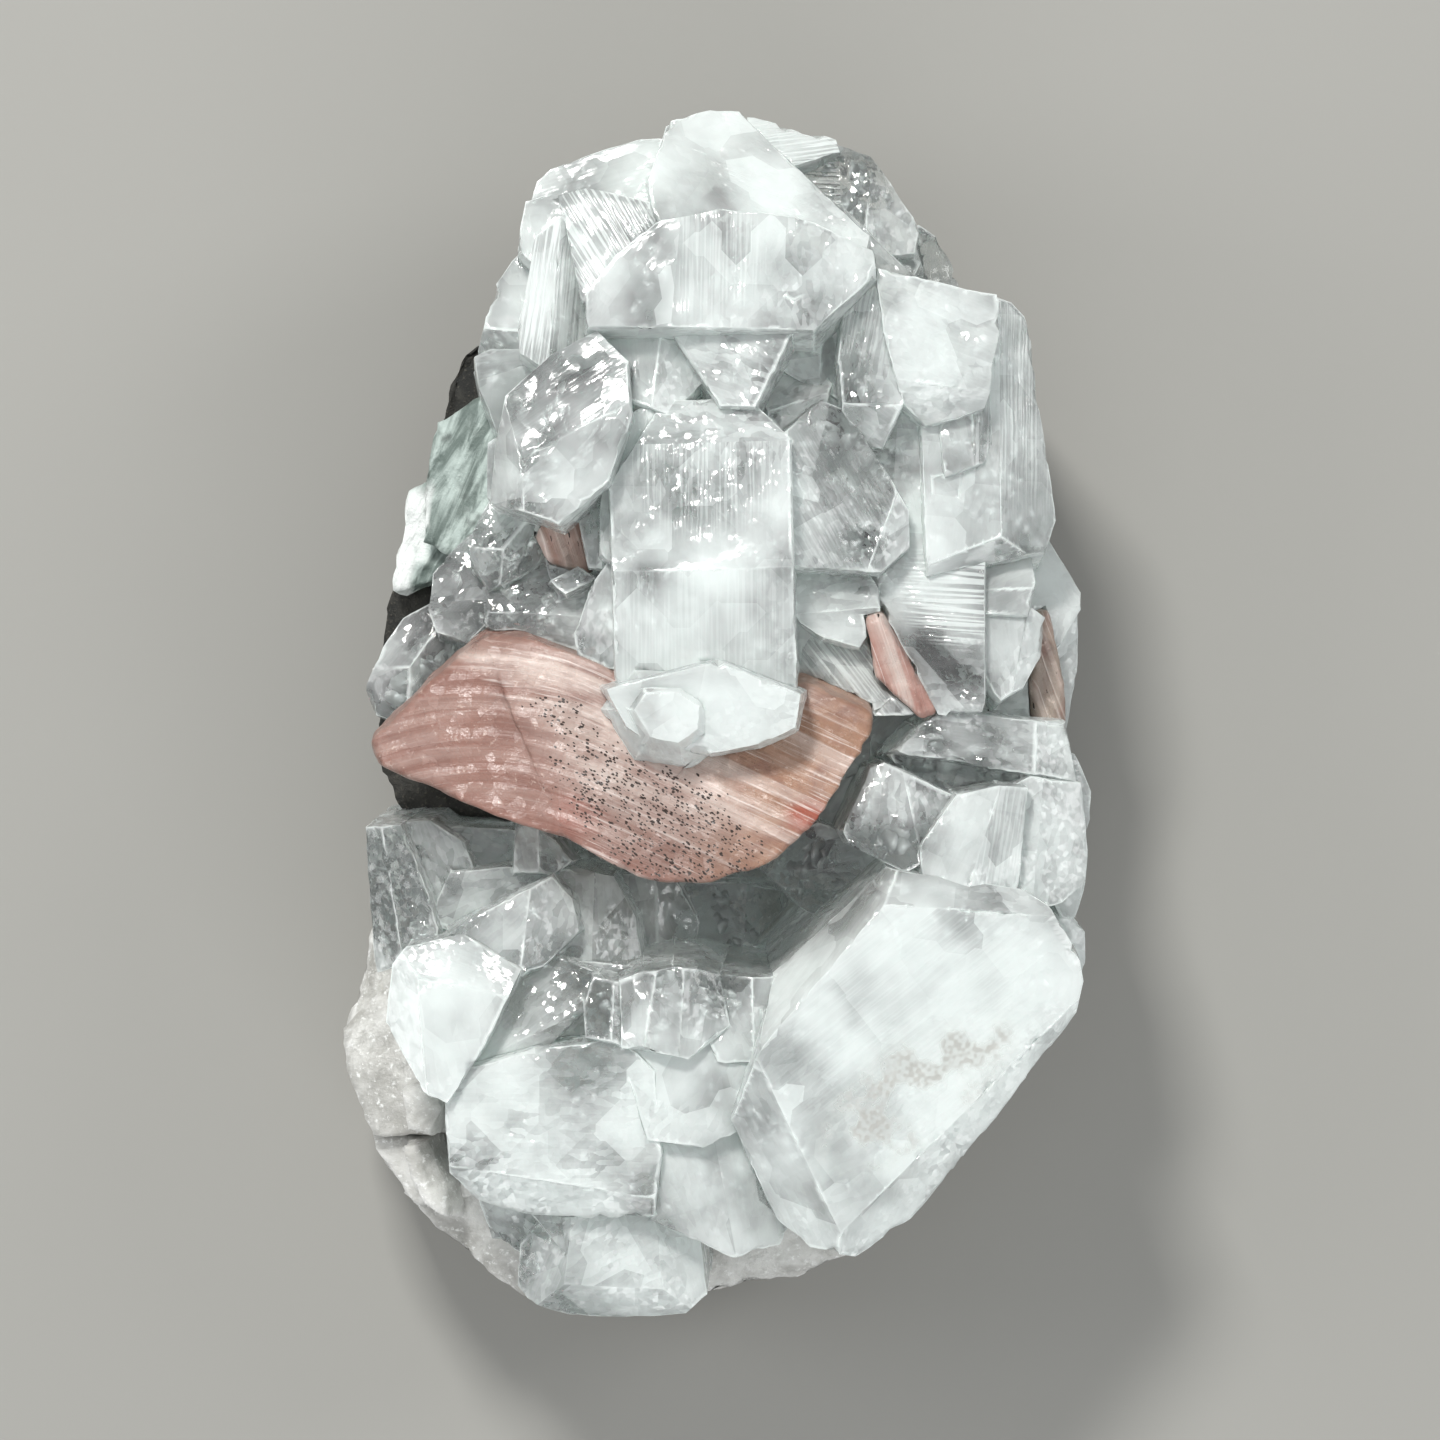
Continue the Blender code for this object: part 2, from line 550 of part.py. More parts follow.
# The far left edge of the lower half and what lines the hollow under the sheaf.
def hollow_crystals():
    return [
        shard(
            [(-23.2, -7.6), (-20.9, -7.4), (-19.0, -12.6), (-18.4, -15.2), (-21.2, -16.6),
             (-22.5, -17.0), (-22.9, -12.0)],
            24.0, (0.16, 0.02), flare=0.03, depth=13,
            folds=[(-22.2, -7.0, -20.6, -17.0, 26)],
        ),
        shard(
            [(-21.2, -7.3), (-19.0, -7.2), (-16.8, -8.6), (-16.2, -10.2), (-18.6, -13.4),
             (-20.6, -11.4)],
            22.4, (0.05, 0.1), flare=0.05, depth=11,
        ),
        shard(
            [(-18.6, -7.5), (-13.0, -7.8), (-12.8, -10.6), (-15.0, -11.6), (-17.2, -10.8)],
            21.0, (0.0, 0.0), flare=0.04, depth=11,
        ),
        shard(
            [(-13.2, -7.2), (-12.7, -6.9), (-10.9, -8.6), (-10.0, -9.8), (-11.0, -10.5), (-13.4, -10.4)],
            23.8, (0.12, -0.25), flare=0.1, depth=10,
            folds=[(-11.8, -10.8, -11.9, -6.6, 26)],
        ),
        shard(
            [(-17.6, -10.6), (-10.2, -9.9), (-11.2, -11.6), (-14.0, -13.2), (-17.8, -14.4),
             (-18.9, -13.4)],
            23.0, (0.0, 0.2), flare=0.08, depth=10,
        ),
        shard(
            [(-17.6, -14.4), (-11.0, -10.9), (-9.8, -12.4), (-9.4, -14.4), (-11.6, -16.6),
             (-13.0, -17.2)],
            26.0, (0.0, -0.24), flare=0.08, depth=12,
            folds=[(-13.0, -17.2, -12.2, -10.6, 15)],
        ),
        shard(
            [(-11.2, -10.2), (-7.0, -10.9), (-5.6, -13.6), (-5.0, -17.6), (-8.5, -17.6), (-11.4, -16.6)],
            23.0, (-0.24, -0.16), flare=0.06, depth=12,
            folds=[(-8.4, -17.8, -8.2, -10.0, 22)],
        ),
        shard(
            [(-7.2, -10.6), (-3.0, -11.0), (-1.4, -14.0), (-2.0, -17.4), (-6.0, -17.8)],
            18.4, (-0.2, -0.12), flare=0.08, depth=11,
            folds=[(-4.0, -18.0, -4.2, -10.6, 24)],
        ),
        shard(
            [(-3.0, -11.2), (1.5, -11.4), (4.2, -12.0), (4.2, -13.0), (2.9, -14.5), (0.9, -16.8),
             (-2.4, -17.8)],
            16.4, (-0.05, -0.1), flare=0.08, depth=10,
            folds=[(1.6, -17.2, 1.9, -11.2, 24)],
        ),
        shard(
            [(3.3, -10.6), (4.9, -8.2), (6.6, -7.3), (8.2, -7.8), (11.4, -10.0), (9.6, -12.3),
             (8.0, -12.9), (6.6, -13.4), (5.3, -12.6)],
            21.4, (0.02, 0.12), flare=0.04, depth=11,
            folds=[(4.0, -11.4, 9.8, -11.8, 30)],
        ),
        shard(
            [(0.6, -15.6), (4.4, -12.6), (8.0, -12.4), (6.0, -16.4), (4.4, -18.6), (0.6, -18.6)],
            12.6, (0.1, 0.1), flare=0.1, depth=8,
        ),
    ]


# The left edge of the upper half: glassy rounded crystals around the pink patch.
def left_edge_crystals():
    return [
        shard(
            [(-16.2, 11.6), (-15.0, 13.9), (-12.2, 13.0), (-11.4, 11.4), (-12.2, 9.8), (-14.2, 8.4),
             (-15.0, 8.2), (-16.2, 10.2)],
            25.0, (0.16, -0.06), flare=0.12, depth=11,
            folds=[(-11.6, 10.6, -16.4, 10.9, 20), (-14.4, 7.8, -13.8, 14.2, 16)],
        ),
        shard(
            [(-19.0, 6.8), (-18.8, 9.2), (-18.0, 10.2), (-16.6, 11.5), (-15.6, 10.2), (-14.8, 8.1),
             (-14.9, 6.0), (-15.9, 4.5), (-18.5, 5.4)],
            21.8, (0.24, -0.04), flare=0.1, depth=11,
            folds=[(-14.6, 7.6, -19.2, 7.2, 24)],
        ),
        shard(
            [(-15.4, 8.2), (-12.4, 10.2), (-8.4, 10.0), (-7.8, 8.0), (-8.8, 3.6), (-12.0, 4.2),
             (-15.3, 5.0)],
            25.4, (0.1, -0.04), flare=0.08, depth=12,
            folds=[(-8.4, 6.3, -15.4, 6.6, 26)],
        ),
        shard(
            [(-23.3, 1.5), (-22.2, 4.3), (-21.0, 6.2), (-19.0, 7.3), (-16.2, 5.0), (-17.6, 2.4),
             (-20.6, -0.8), (-22.6, 0.0)],
            18.4, (0.36, 0.0), flare=0.06, depth=8,
            folds=[(-17.0, 3.2, -23.2, 2.8, 24), (-20.6, -1.0, -20.2, 7.2, 14)],
        ),
        shard(
            [(-10.9, 8.6), (-10.0, 7.9), (-8.2, 8.8), (-9.2, 9.5)],
            26.9, (0.0, -0.3), flare=0.1, depth=7,
        ),
        shard(
            [(-9.2, 13.2), (-7.0, 15.4), (-6.4, 13.0), (-6.6, 9.4), (-8.4, 9.6)],
            27.0, (0.16, -0.05), flare=0.08, depth=11,
            folds=[(-7.6, 9.0, -7.4, 15.6, 24)],
        ),
        shard(
            [(-11.6, 12.4), (-9.4, 14.2), (-7.6, 12.8), (-7.6, 9.2), (-9.4, 8.6), (-12.2, 9.8)],
            22.6, (0.0, 0.0), flare=0.05, depth=9,
        ),
    ]


# The heart of the cluster: the large intergrown blocks that carry all the others.
def heart_crystals():
    return [
        shard(
            [(-12.0, 12.0), (-12.0, 30.0), (-2.0, 34.5), (8.0, 33.5), (14.5, 27.0), (17.5, 14.0),
             (17.5, 0.0), (-8.0, 0.0)],
            24.5, (0.0, -0.05), lean=(0.0, 0.0), flare=-0.1, depth=14.2,
        ),
        shard(
            [(-17.0, 3.0), (-15.0, 12.0), (-6.0, 14.0), (20.0, 6.0), (21.0, -8.0), (14.0, -12.5),
             (-12.0, -6.0), (-16.0, -2.0)],
            18.0, (0.0, 0.0), lean=(0.0, 0.0), flare=-0.1, depth=7.7,
        ),
        shard(
            [(-21.0, -9.0), (-18.0, -8.4), (19.0, -10.0), (21.0, -18.0), (10.0, -31.0), (-2.0, -36.0),
             (-11.0, -36.0), (-17.0, -29.0), (-20.0, -20.0)],
            13.6, (0.0, -0.04), lean=(0.0, 0.0), flare=-0.1, depth=4.3,
        ),
        shard(
            [(-18.0, -15.5), (4.0, -17.8), (6.0, -28.0), (0.0, -34.0), (-10.0, -35.5), (-15.5, -29.0)],
            24.5, (0.0, 0.0), lean=(0.0, 0.0), flare=0.05, depth=12,
        ),
        shard(
            [(9.0, -14.0), (19.0, -13.0), (20.5, -17.0), (9.0, -31.0), (5.0, -31.0), (4.0, -25.0)],
            24.0, (0.0, 0.0), lean=(0.0, 0.0), flare=0.02, depth=15,
        ),
        shard(
            [(11.0, 8.7), (20.0, 8.7), (21.0, -8.0), (13.0, -10.5), (10.0, -4.0)],
            20.5, (0.0, 0.0), lean=(0.0, 0.0), flare=0.0, depth=10,
        ),
    ]


def sheaf_crystals():
    """The salmon stilbite sheaf: a wedge on the left that fans out into a striated blade."""
    return [
        shard(
            [(-22.8, -2.1), (-18.9, 1.8), (-15.3, 4.9), (-12.8, 5.0), (-6.8, 2.6), (-2.0, -3.0),
             (-6.6, -9.2), (-13.3, -7.0), (-22.1, -3.6)],
            28.6, (0.12, -0.1), lean=(0.0, 0.1), flare=0.0, depth=8,
            folds=[(-16.4, 5.0, -17.4, -7.0, 16), (-6.0, 1.0, -17.0, 3.0, 14)],
        ),
        shard(
            [(-15.0, 3.4), (5.7, 1.3), (10.0, -0.7), (10.0, -1.7), (6.3, -7.2), (4.9, -8.5),
             (2.9, -10.0), (-0.9, -11.1), (-3.2, -11.1), (-5.3, -10.7), (-10.0, -8.3)],
            30.4, (0.02, -0.06), lean=(0.0, 0.25), flare=0.0, depth=9,
            folds=[(5.0, -8.0, -14.0, -2.6, 15), (4.6, -10.0, 7.4, 1.4, 13), (-11.0, 4.0, -6.5, -9.0, 12)],
        ),
    ]


def sliver_crystals():
    """The thin red-brown stilbite blade between the crystals on the right."""
    return [
        shard(
            [(9.7, 6.2), (10.6, 6.4), (14.2, 0.0), (13.4, -0.3), (11.6, 1.2), (10.4, 2.4)],
            26.6, (-0.1, 0.12), lean=(0.05, 0.1), flare=0.0, depth=8,
            folds=[(12.4, 0.4, 10.4, 6.6, 24)],
        ),
    ]


def fan_crystals():
    """The brown fibrous stilbite fan on the right edge."""
    return [
        shard(
            [(20.9, 6.4), (21.9, 6.8), (22.9, 2.0), (23.1, -1.0), (20.9, -0.9)],
            20.6, (-0.22, 0.02), lean=(-0.3, 0.0), flare=0.0, depth=7,
            folds=[(22.1, -1.4, 21.7, 7.0, 22)],
        ),
    ]


def patch_crystals():
    """The small pink stilbite patch under the pointed tablet."""
    return [
        shard(
            [(-11.9, 11.6), (-11.2, 12.7), (-9.1, 13.6), (-7.9, 10.2), (-8.7, 9.3), (-11.0, 10.0)],
            25.8, (0.05, -0.12), lean=(0.1, 0.0), flare=0.05, depth=6,
            folds=[(-9.8, 9.0, -10.2, 13.8, 16)],
        ),
    ]


def crust_crystals():
    """The chalcedony crust: the base of the lower half, with its rough broken rim."""
    rim = [(-24.6, -21.2), (-20.9, -6.2), (16.4, -7.4), (22.5, -14.5), (22.8, -19.0), (17.6, -26.2),
           (12.2, -32.6), (8.4, -35.6), (5.4, -37.2), (-2.4, -39.0), (-9.6, -39.2), (-12.8, -38.4),
           (-20.2, -32.6), (-22.7, -28.6), (-24.3, -24.0)]
    return [
        shard(
            rim,
            CRUST_TOP, (0.0, 0.0), lean=(0.0, 0.0), flare=-0.28, depth=CRUST_TOP - REST,
        ),
        shard(
            [(-22.0, -18.0), (-24.8, -21.2), (-24.5, -23.6), (-22.8, -28.0), (-19.0, -28.0),
             (-18.6, -19.0)],
            14.6, (0.3, 0.0), lean=(0.3, 0.1), flare=0.0, depth=8,
            folds=[(-20.0, -24.6, -24.8, -22.8, 14)],
        ),
        shard(
            [(-22.9, -27.6), (-22.7, -29.0), (-20.1, -32.8), (-16.6, -32.0), (-16.6, -27.0),
             (-20.8, -25.2)],
            13.8, (0.24, 0.12), lean=(0.3, 0.2), flare=0.0, depth=7.5,
            folds=[(-17.0, -30.4, -22.8, -28.4, 20)],
        ),
        shard(
            [(-20.8, -31.9), (-18.8, -34.2), (-13.6, -38.4), (-12.4, -38.9), (-11.0, -36.0),
             (-14.0, -31.0), (-17.4, -29.6)],
            13.2, (0.14, 0.2), lean=(0.25, 0.3), flare=0.0, depth=7,
        ),
        shard(
            [(-20.8, -25.2), (-19.4, -24.7), (-18.4, -26.2), (-19.2, -27.8), (-20.4, -27.4)],
            18.6, (0.1, -0.1), lean=(0.2, 0.1), flare=0.1, depth=8,
        ),
        shard(
            [(-20.7, -29.0), (-19.4, -28.6), (-18.2, -31.4), (-18.1, -33.4), (-19.5, -32.6),
             (-20.4, -30.8)],
            16.6, (0.1, 0.0), lean=(0.2, 0.2), flare=0.1, depth=7,
            folds=[(-18.6, -33.6, -20.0, -28.6, 24)],
        ),
        shard(
            [(-2.0, -34.0), (6.0, -34.4), (9.0, -35.2), (8.7, -35.9), (5.7, -37.4), (-1.4, -38.8)],
            14.0, (-0.02, 0.22), lean=(0.0, 0.25), flare=0.0, depth=7,
            folds=[(-2.0, -37.0, 9.0, -36.0, 30)],
        ),
    ]


def band_crystals():
    """The pale green banded crust that shows up the left side, between the basalt and the crystals."""
    return [
        shard(
            [(-18.7, 19.3), (-14.6, 21.0), (-10.0, 16.0), (-11.0, 9.0), (-16.0, 9.6), (-19.6, 11.4),
             (-19.3, 15.0), (-19.0, 17.4)],
            17.6, (0.28, 0.0), lean=(0.3, -0.05), flare=0.0, depth=6,
            folds=[(-16.4, 21.0, -17.2, 9.0, 26)],
        ),
        shard(
            [(-20.3, 14.6), (-19.1, 15.3), (-17.0, 13.0), (-16.0, 9.4), (-21.5, 8.3), (-21.2, 10.2),
             (-20.8, 12.6)],
            14.6, (0.3, 0.05), lean=(0.3, 0.0), flare=0.0, depth=5,
        ),
    ]


def basalt_crystals():
    """The basalt remnant: a broken slab with ledges, flat underneath where it was split off."""
    return [
        shard(
            [(-17.0, 24.0), (-22.1, 7.0), (-22.4, 0.0), (-22.1, -3.8), (-20.7, -6.4), (-14.0, -8.2),
             (16.0, -8.2), (19.0, 0.0), (17.5, 12.0), (14.0, 24.0), (6.0, 31.0), (-6.0, 31.5)],
            BASALT_TOP, (0.0, 0.0), lean=(0.0, 0.0), flare=-0.2, depth=BASALT_TOP - REST,
        ),
        shard(
            [(-15.2, 25.2), (-17.6, 22.2), (-17.4, 19.6), (-12.0, 18.6), (-10.0, 24.0)],
            15.6, (0.3, 0.0), lean=(0.25, -0.1), flare=0.05, depth=8,
            folds=[(-11.0, 21.0, -18.0, 21.2, 18)],
        ),
        shard(
            [(-22.2, 4.4), (-22.0, 7.2), (-20.4, 8.8), (-17.0, 11.6), (-14.0, 9.0), (-14.0, 2.0),
             (-18.0, 1.6)],
            12.4, (0.2, 0.05), lean=(0.2, 0.0), flare=0.05, depth=6,
        ),
        shard(
            [(-22.6, 0.2), (-22.3, -3.9), (-20.8, -6.6), (-13.0, -7.2), (-10.0, -4.0), (-12.0, 2.0),
             (-20.0, 2.0)],
            15.4, (0.22, 0.0), lean=(0.2, 0.1), flare=0.05, depth=8,
            folds=[(-12.0, -3.4, -22.8, -2.6, 22)],
        ),
    ]


def build():
    for obj in list(bpy.data.objects):
        bpy.data.objects.remove(obj)
    apophyllite = material("apophyllite", (0.80, 0.87, 0.85), 0.18, 0.6, 1.535)
    stilbite = material("stilbite", (0.62, 0.36, 0.28), 0.42)
    chalcedony = material("chalcedony", (0.62, 0.62, 0.60), 0.5)
    celadonite = material("banded_crust", (0.50, 0.58, 0.55), 0.55)
    basalt = material("basalt", (0.06, 0.06, 0.055), 0.85)

    rock = basalt_crystals()
    band = band_crystals()
    crust = crust_crystals()
    sheaf = sheaf_crystals()
    sliver = sliver_crystals()
    fan = fan_crystals()
    patch = patch_crystals()
    crystals = (
        heart_crystals() + crown_crystals() + brow_crystals() + upper_left_crystals() + pointed_tablet()
        + centre_crystals() + right_crystals() + tablet_crystals() + long_crystal() + lower_left_crystals()
        + hollow_crystals() + left_edge_crystals()
    )
    piece("basalt_matrix", rock, basalt)
    piece("banded_crust", band, celadonite, rock)
    piece("chalcedony_crust", crust, chalcedony, rock)
    piece("stilbite_sheaf", sheaf, stilbite, rock)
    piece("stilbite_sliver", sliver, stilbite)
    piece("stilbite_fan", fan, stilbite)
    piece("stilbite_patch", patch, stilbite)
    others = rock + band + crust + sheaf + sliver + fan + patch
    piece("apophyllite_crystals", crystals, apophyllite, others)


build()
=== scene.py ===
"""Looks of the apophyllite cluster: pale glassy crystals, a salmon stilbite sheaf, basalt and chalcedony.

Each stone starts from its own solid. The solid's triangles are halved until they are fine, and each point
moves along its normal by a sum of noise, so the faces stay flat on the whole and their edges look broken.
Lengths in the surface formulas are in millimetres.
"""

import math

import bpy
import numpy as np
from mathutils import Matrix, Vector
from mathutils.bvhtree import BVHTree


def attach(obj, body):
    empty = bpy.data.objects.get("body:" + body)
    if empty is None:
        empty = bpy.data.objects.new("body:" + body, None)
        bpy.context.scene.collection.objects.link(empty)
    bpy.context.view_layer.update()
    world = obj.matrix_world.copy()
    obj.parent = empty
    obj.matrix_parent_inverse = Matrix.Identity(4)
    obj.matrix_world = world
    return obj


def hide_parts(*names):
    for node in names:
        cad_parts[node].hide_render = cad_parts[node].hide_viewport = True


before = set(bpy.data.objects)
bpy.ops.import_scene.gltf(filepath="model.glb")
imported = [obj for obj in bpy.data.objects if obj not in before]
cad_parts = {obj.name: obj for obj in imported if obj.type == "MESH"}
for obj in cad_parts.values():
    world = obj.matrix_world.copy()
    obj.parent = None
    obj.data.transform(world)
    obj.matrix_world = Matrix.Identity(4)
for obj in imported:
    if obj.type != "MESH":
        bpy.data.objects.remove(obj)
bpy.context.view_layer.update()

MM = 0.001
SEED = 20
# The solids keep 0.3 mm between two stones. Their looks grow over most of it, because the real ones touch.
GROWTH = 0.12
# One unit of a piece's UV map is this many mm.
UV_SPAN = 100.0

# The longest mesh edge in mm: on the crystals' faces that look up, on their others, on stilbite and on stone.
FINE_EDGE, COARSE_EDGE = 0.66, 1.7
STILBITE_EDGE = 0.42
STONE_EDGE = 0.75
# Two neighbouring triangles are one facet where their normals' dot product is over this.
ONE_FACET = 0.9996
ONE_FOLD = 0.85
# A triangle with less than half of this area in mm2 is a sliver, and its normal isn't trusted.
SLIVER = 0.002
# A ridge that turns by more than this many degrees can chip.
RIDGE_TURN = 12.0
# A facet whose normal's Z is over this looks up.
LOOKS_UP = 0.08
# The reach in mm of growth lines that cover a whole facet.
EVERYWHERE = 1000.0

# Pattern scales on the UV map, in repeats for each 100 mm.
GROWTH_LINES = (16.0, 560.0, 1.0)  # 6 mm long and 0.18 mm wide
PITS = 260.0  # 0.4 mm
BLOCKS = 27.0  # cleavage steps of 3.7 mm
CHIPS = (110.0, 230.0, 1.0)  # 0.9 by 0.4 mm
CRAZING = 290.0  # cells of 0.35 mm, drawn coarser than real so that they show
FIBRES = (14.0, 380.0, 1.0)  # 7 mm long and 0.26 mm wide, drawn coarser than real so that they show
BANDS = (6.0, 90.0, 1.0)  # 17 mm long and 1.1 mm wide
SPECKS = (340.0, 520.0, 1.0)  # mineral specks 0.3 by 0.2 mm

# Pattern scales on object coordinates, in repeats for each metre.
BLOTCHES = 300.0  # 3.3 mm
GRAINS = 1900.0  # 0.5 mm
SPECK_SWARMS = 700.0  # 1.4 mm
PEARLY_CELLS = 1300.0  # 0.8 mm
CRUST_LAYERS = (1100.0, 170.0, 500.0)  # layers 0.9 mm thick
CRUST_PATCHES = 320.0  # 3 mm
CRUST_GRAINS = 2200.0  # 0.45 mm
BASALT_PATCHES = 420.0  # 2.4 mm
CHALCEDONY_PATCHES = 260.0  # 3.8 mm

# The camera looks straight down from afar. The picture is 1440 pixels wide and one pixel is 0.066 mm.
PICTURE_WIDTH = 1440 * 0.066
CAMERA_AIM = (0.13, -0.46, 22.0)
CAMERA_DISTANCE = 900.0
SENSOR_WIDTH = 36.0


def linear(hex_colour):
    """An sRGB hex colour as linear RGBA."""
    parts = [int(hex_colour[i : i + 2], 16) / 255 for i in (1, 3, 5)]
    return [c / 12.92 if c <= 0.04045 else ((c + 0.055) / 1.055) ** 2.4 for c in parts] + [1.0]


def lattice_noise(points, size, seed):
    """Smooth noise from -1 to 1 with features of the given size: random values at lattice corners, and
    between them each value weighted by t * t * (3 - 2 * t), with t the share of the way to its corner."""
    order = np.random.default_rng(seed).permutation(256)
    values = np.random.default_rng(seed + 1).uniform(-1, 1, 256)
    place = np.asarray(points) / size
    cell = np.floor(place).astype(np.int64)
    part = place - cell
    ease = part * part * (3 - 2 * part)
    total = np.zeros(len(place))
    for corner in np.ndindex(2, 2, 2):
        at = (cell + corner) & 255
        index = order[(order[(order[at[:, 0]] + at[:, 1]) & 255] + at[:, 2]) & 255]
        weight = np.where(corner, ease, 1 - ease).prod(axis=1)
        total += weight * values[index]
    return total


def layered_noise(points, size, seed, layers=3):
    """Noise summed over layers, each half the size and half the strength of the one before."""
    return sum(lattice_noise(points, size / 2**i, seed + 7 * i) / 2**i for i in range(layers))


def eased(low, high, value):
    """0 below low, 1 above high, and a smooth S between."""
    t = np.clip((value - low) / (high - low), 0, 1)
    return t * t * (3 - 2 * t)


def oval(points, x, y, long, short, angle):
    """1 at the middle of an oval patch and 0 from its edge on: 1 - S(d), with d the distance in radii and
    S the smooth step from 0.35 to 1."""
    turn = math.radians(angle)
    dx, dy = points[:, 0] - x, points[:, 1] - y
    u = (dx * math.cos(turn) + dy * math.sin(turn)) / long
    v = (dy * math.cos(turn) - dx * math.sin(turn)) / short
    return 1 - eased(0.35, 1.0, np.hypot(u, v))


def solid_mesh(node):
    """(points in mm, triangles) of a CAD node, with the corners that its file splits merged again."""
    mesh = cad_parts[node].data
    mesh.calc_loop_triangles()
    points = np.empty(len(mesh.vertices) * 3)
    mesh.vertices.foreach_get("co", points)
    tris = np.empty(len(mesh.loop_triangles) * 3, np.int32)
    mesh.loop_triangles.foreach_get("vertices", tris)
    points, index = np.unique(np.round(points.reshape(-1, 3) / MM, 4), axis=0, return_inverse=True)
    tris = index.reshape(-1)[tris].reshape(-1, 3)
    whole = (tris[:, 0] != tris[:, 1]) & (tris[:, 1] != tris[:, 2]) & (tris[:, 0] != tris[:, 2])
    return points, tris[whole]


def cross_of(points, tris):
    """Each triangle's normal times twice its area."""
    a, b, c = (points[tris[:, i]] for i in range(3))
    return np.cross(b - a, c - a)


def edge_table(tris):
    """(edges as sorted point pairs, the edge number of each triangle's sides 01, 12 and 20)."""
    sides = np.sort(np.concatenate([tris[:, [0, 1]], tris[:, [1, 2]], tris[:, [2, 0]]]), axis=1)
    edges, index = np.unique(sides, axis=0, return_inverse=True)
    return edges, index.reshape(3, -1).T


def facets_of(points, tris, least=ONE_FACET):
    """A number for each triangle, the same for neighbours whose normals' dot product is over the least."""
    normal = cross_of(points, tris)
    area = np.linalg.norm(normal, axis=1, keepdims=True)
    normal = normal / np.maximum(area, 1e-12)
    _, sides = edge_table(tris)
    owner = np.repeat(np.arange(len(tris)), 3)
    order = np.argsort(sides.reshape(-1), kind="stable")
    edge, owner = sides.reshape(-1)[order], owner[order]
    same = edge[1:] == edge[:-1]
    one, two = owner[:-1][same], owner[1:][same]
    thin = (area[one, 0] < SLIVER) | (area[two, 0] < SLIVER)
    level = (normal[one] * normal[two]).sum(axis=1) > least
    one, two = one[level | thin], two[level | thin]
    label = np.arange(len(tris))
    while True:
        low = np.minimum(label[one], label[two])
        new = label.copy()
        np.minimum.at(new, one, low)
        np.minimum.at(new, two, low)
        if (new == label).all():
            return np.unique(label, return_inverse=True)[1].reshape(-1)
        label = new


def ridges_of(points, tris, facet, normal, mean):
    """The mesh edges, as sorted point pairs, where two facets meet at an outward ridge that can chip."""
    edges, sides = edge_table(tris)
    owner = np.repeat(np.arange(len(tris)), 3)
    order = np.argsort(sides.reshape(-1), kind="stable")
    edge, owner = sides.reshape(-1)[order], facet[owner[order]]
    pair = (edge[1:] == edge[:-1]) & (owner[1:] != owner[:-1])
    one, two, edge = owner[:-1][pair], owner[1:][pair], edge[1:][pair]
    middle = points[edges[edge]].mean(axis=1)
    turn = (normal[one] * normal[two]).sum(axis=1) < math.cos(math.radians(RIDGE_TURN))
    outward = ((mean[two] - middle) * normal[one]).sum(axis=1) < 0
    return edges[edge[turn & outward]]


def halved(points, tris, tags, longest, ridges=None):
    """Cuts every edge over the longest length at its middle, again and again, and keeps each triangle's
    tag. longest is one length or one for each tag; an edge takes the least of its two triangles'. With
    ridges, a list of point pairs, it also returns 1 for each point on one of them and 0 for the others."""
    ridges = np.empty((0, 2), np.int64) if ridges is None else ridges.astype(np.int64)
    while True:
        edges, sides = edge_table(tris)
        length = np.linalg.norm(points[edges[:, 0]] - points[edges[:, 1]], axis=1)
        limit = np.full(len(edges), np.inf)
        np.minimum.at(limit, sides, np.broadcast_to(longest, tags.max() + 1)[tags][:, None])
        cut = length > limit
        if not cut.any():
            on_ridge = np.zeros(len(points))
            on_ridge[ridges.reshape(-1)] = 1
            return (points, tris, tags, on_ridge) if len(ridges) else (points, tris, tags)
        middle = np.full(len(edges), -1)
        middle[cut] = len(points) + np.arange(cut.sum())
        key = edges[:, 0].astype(np.int64) * len(points) + edges[:, 1]
        at = np.searchsorted(key, ridges[:, 0] * len(points) + ridges[:, 1])
        split = middle[at] >= 0
        new = np.stack([middle[at], middle[at]], axis=1)[split]
        old = ridges[split]
        pieces = [np.stack([old[:, 0], new[:, 0]], axis=1), np.stack([old[:, 1], new[:, 0]], axis=1)]
        ridges = np.concatenate([ridges[~split]] + pieces)
        points = np.concatenate([points, points[edges[cut]].mean(axis=1)])
        mids = middle[sides]
        count = (mids >= 0).sum(axis=1)
        turn = np.zeros(len(tris), int)
        for k in range(3):
            turn[(count == 1) & (mids[:, k] >= 0)] = k
            turn[(count == 2) & (mids[:, k] < 0)] = (k + 1) % 3
        pick = (turn[:, None] + np.arange(3)) % 3
        t = np.take_along_axis(tris, pick, axis=1)
        m = np.take_along_axis(mids, pick, axis=1)
        parts, owners = [], []

        def add(which, *columns):
            parts.append(np.stack([c[which] for c in columns], axis=1))
            owners.append(tags[which])

        none, one, two, three = (count == k for k in range(4))
        add(none, t[:, 0], t[:, 1], t[:, 2])
        add(one, t[:, 0], m[:, 0], t[:, 2])
        add(one, m[:, 0], t[:, 1], t[:, 2])
        add(two, m[:, 0], t[:, 1], m[:, 1])
        add(two, t[:, 0], m[:, 0], m[:, 1])
        add(two, t[:, 0], m[:, 1], t[:, 2])
        add(three, t[:, 0], m[:, 0], m[:, 2])
        add(three, m[:, 0], t[:, 1], m[:, 1])
        add(three, m[:, 2], m[:, 1], t[:, 2])
        add(three, m[:, 0], m[:, 1], m[:, 2])
        tris, tags = np.concatenate(parts), np.concatenate(owners)


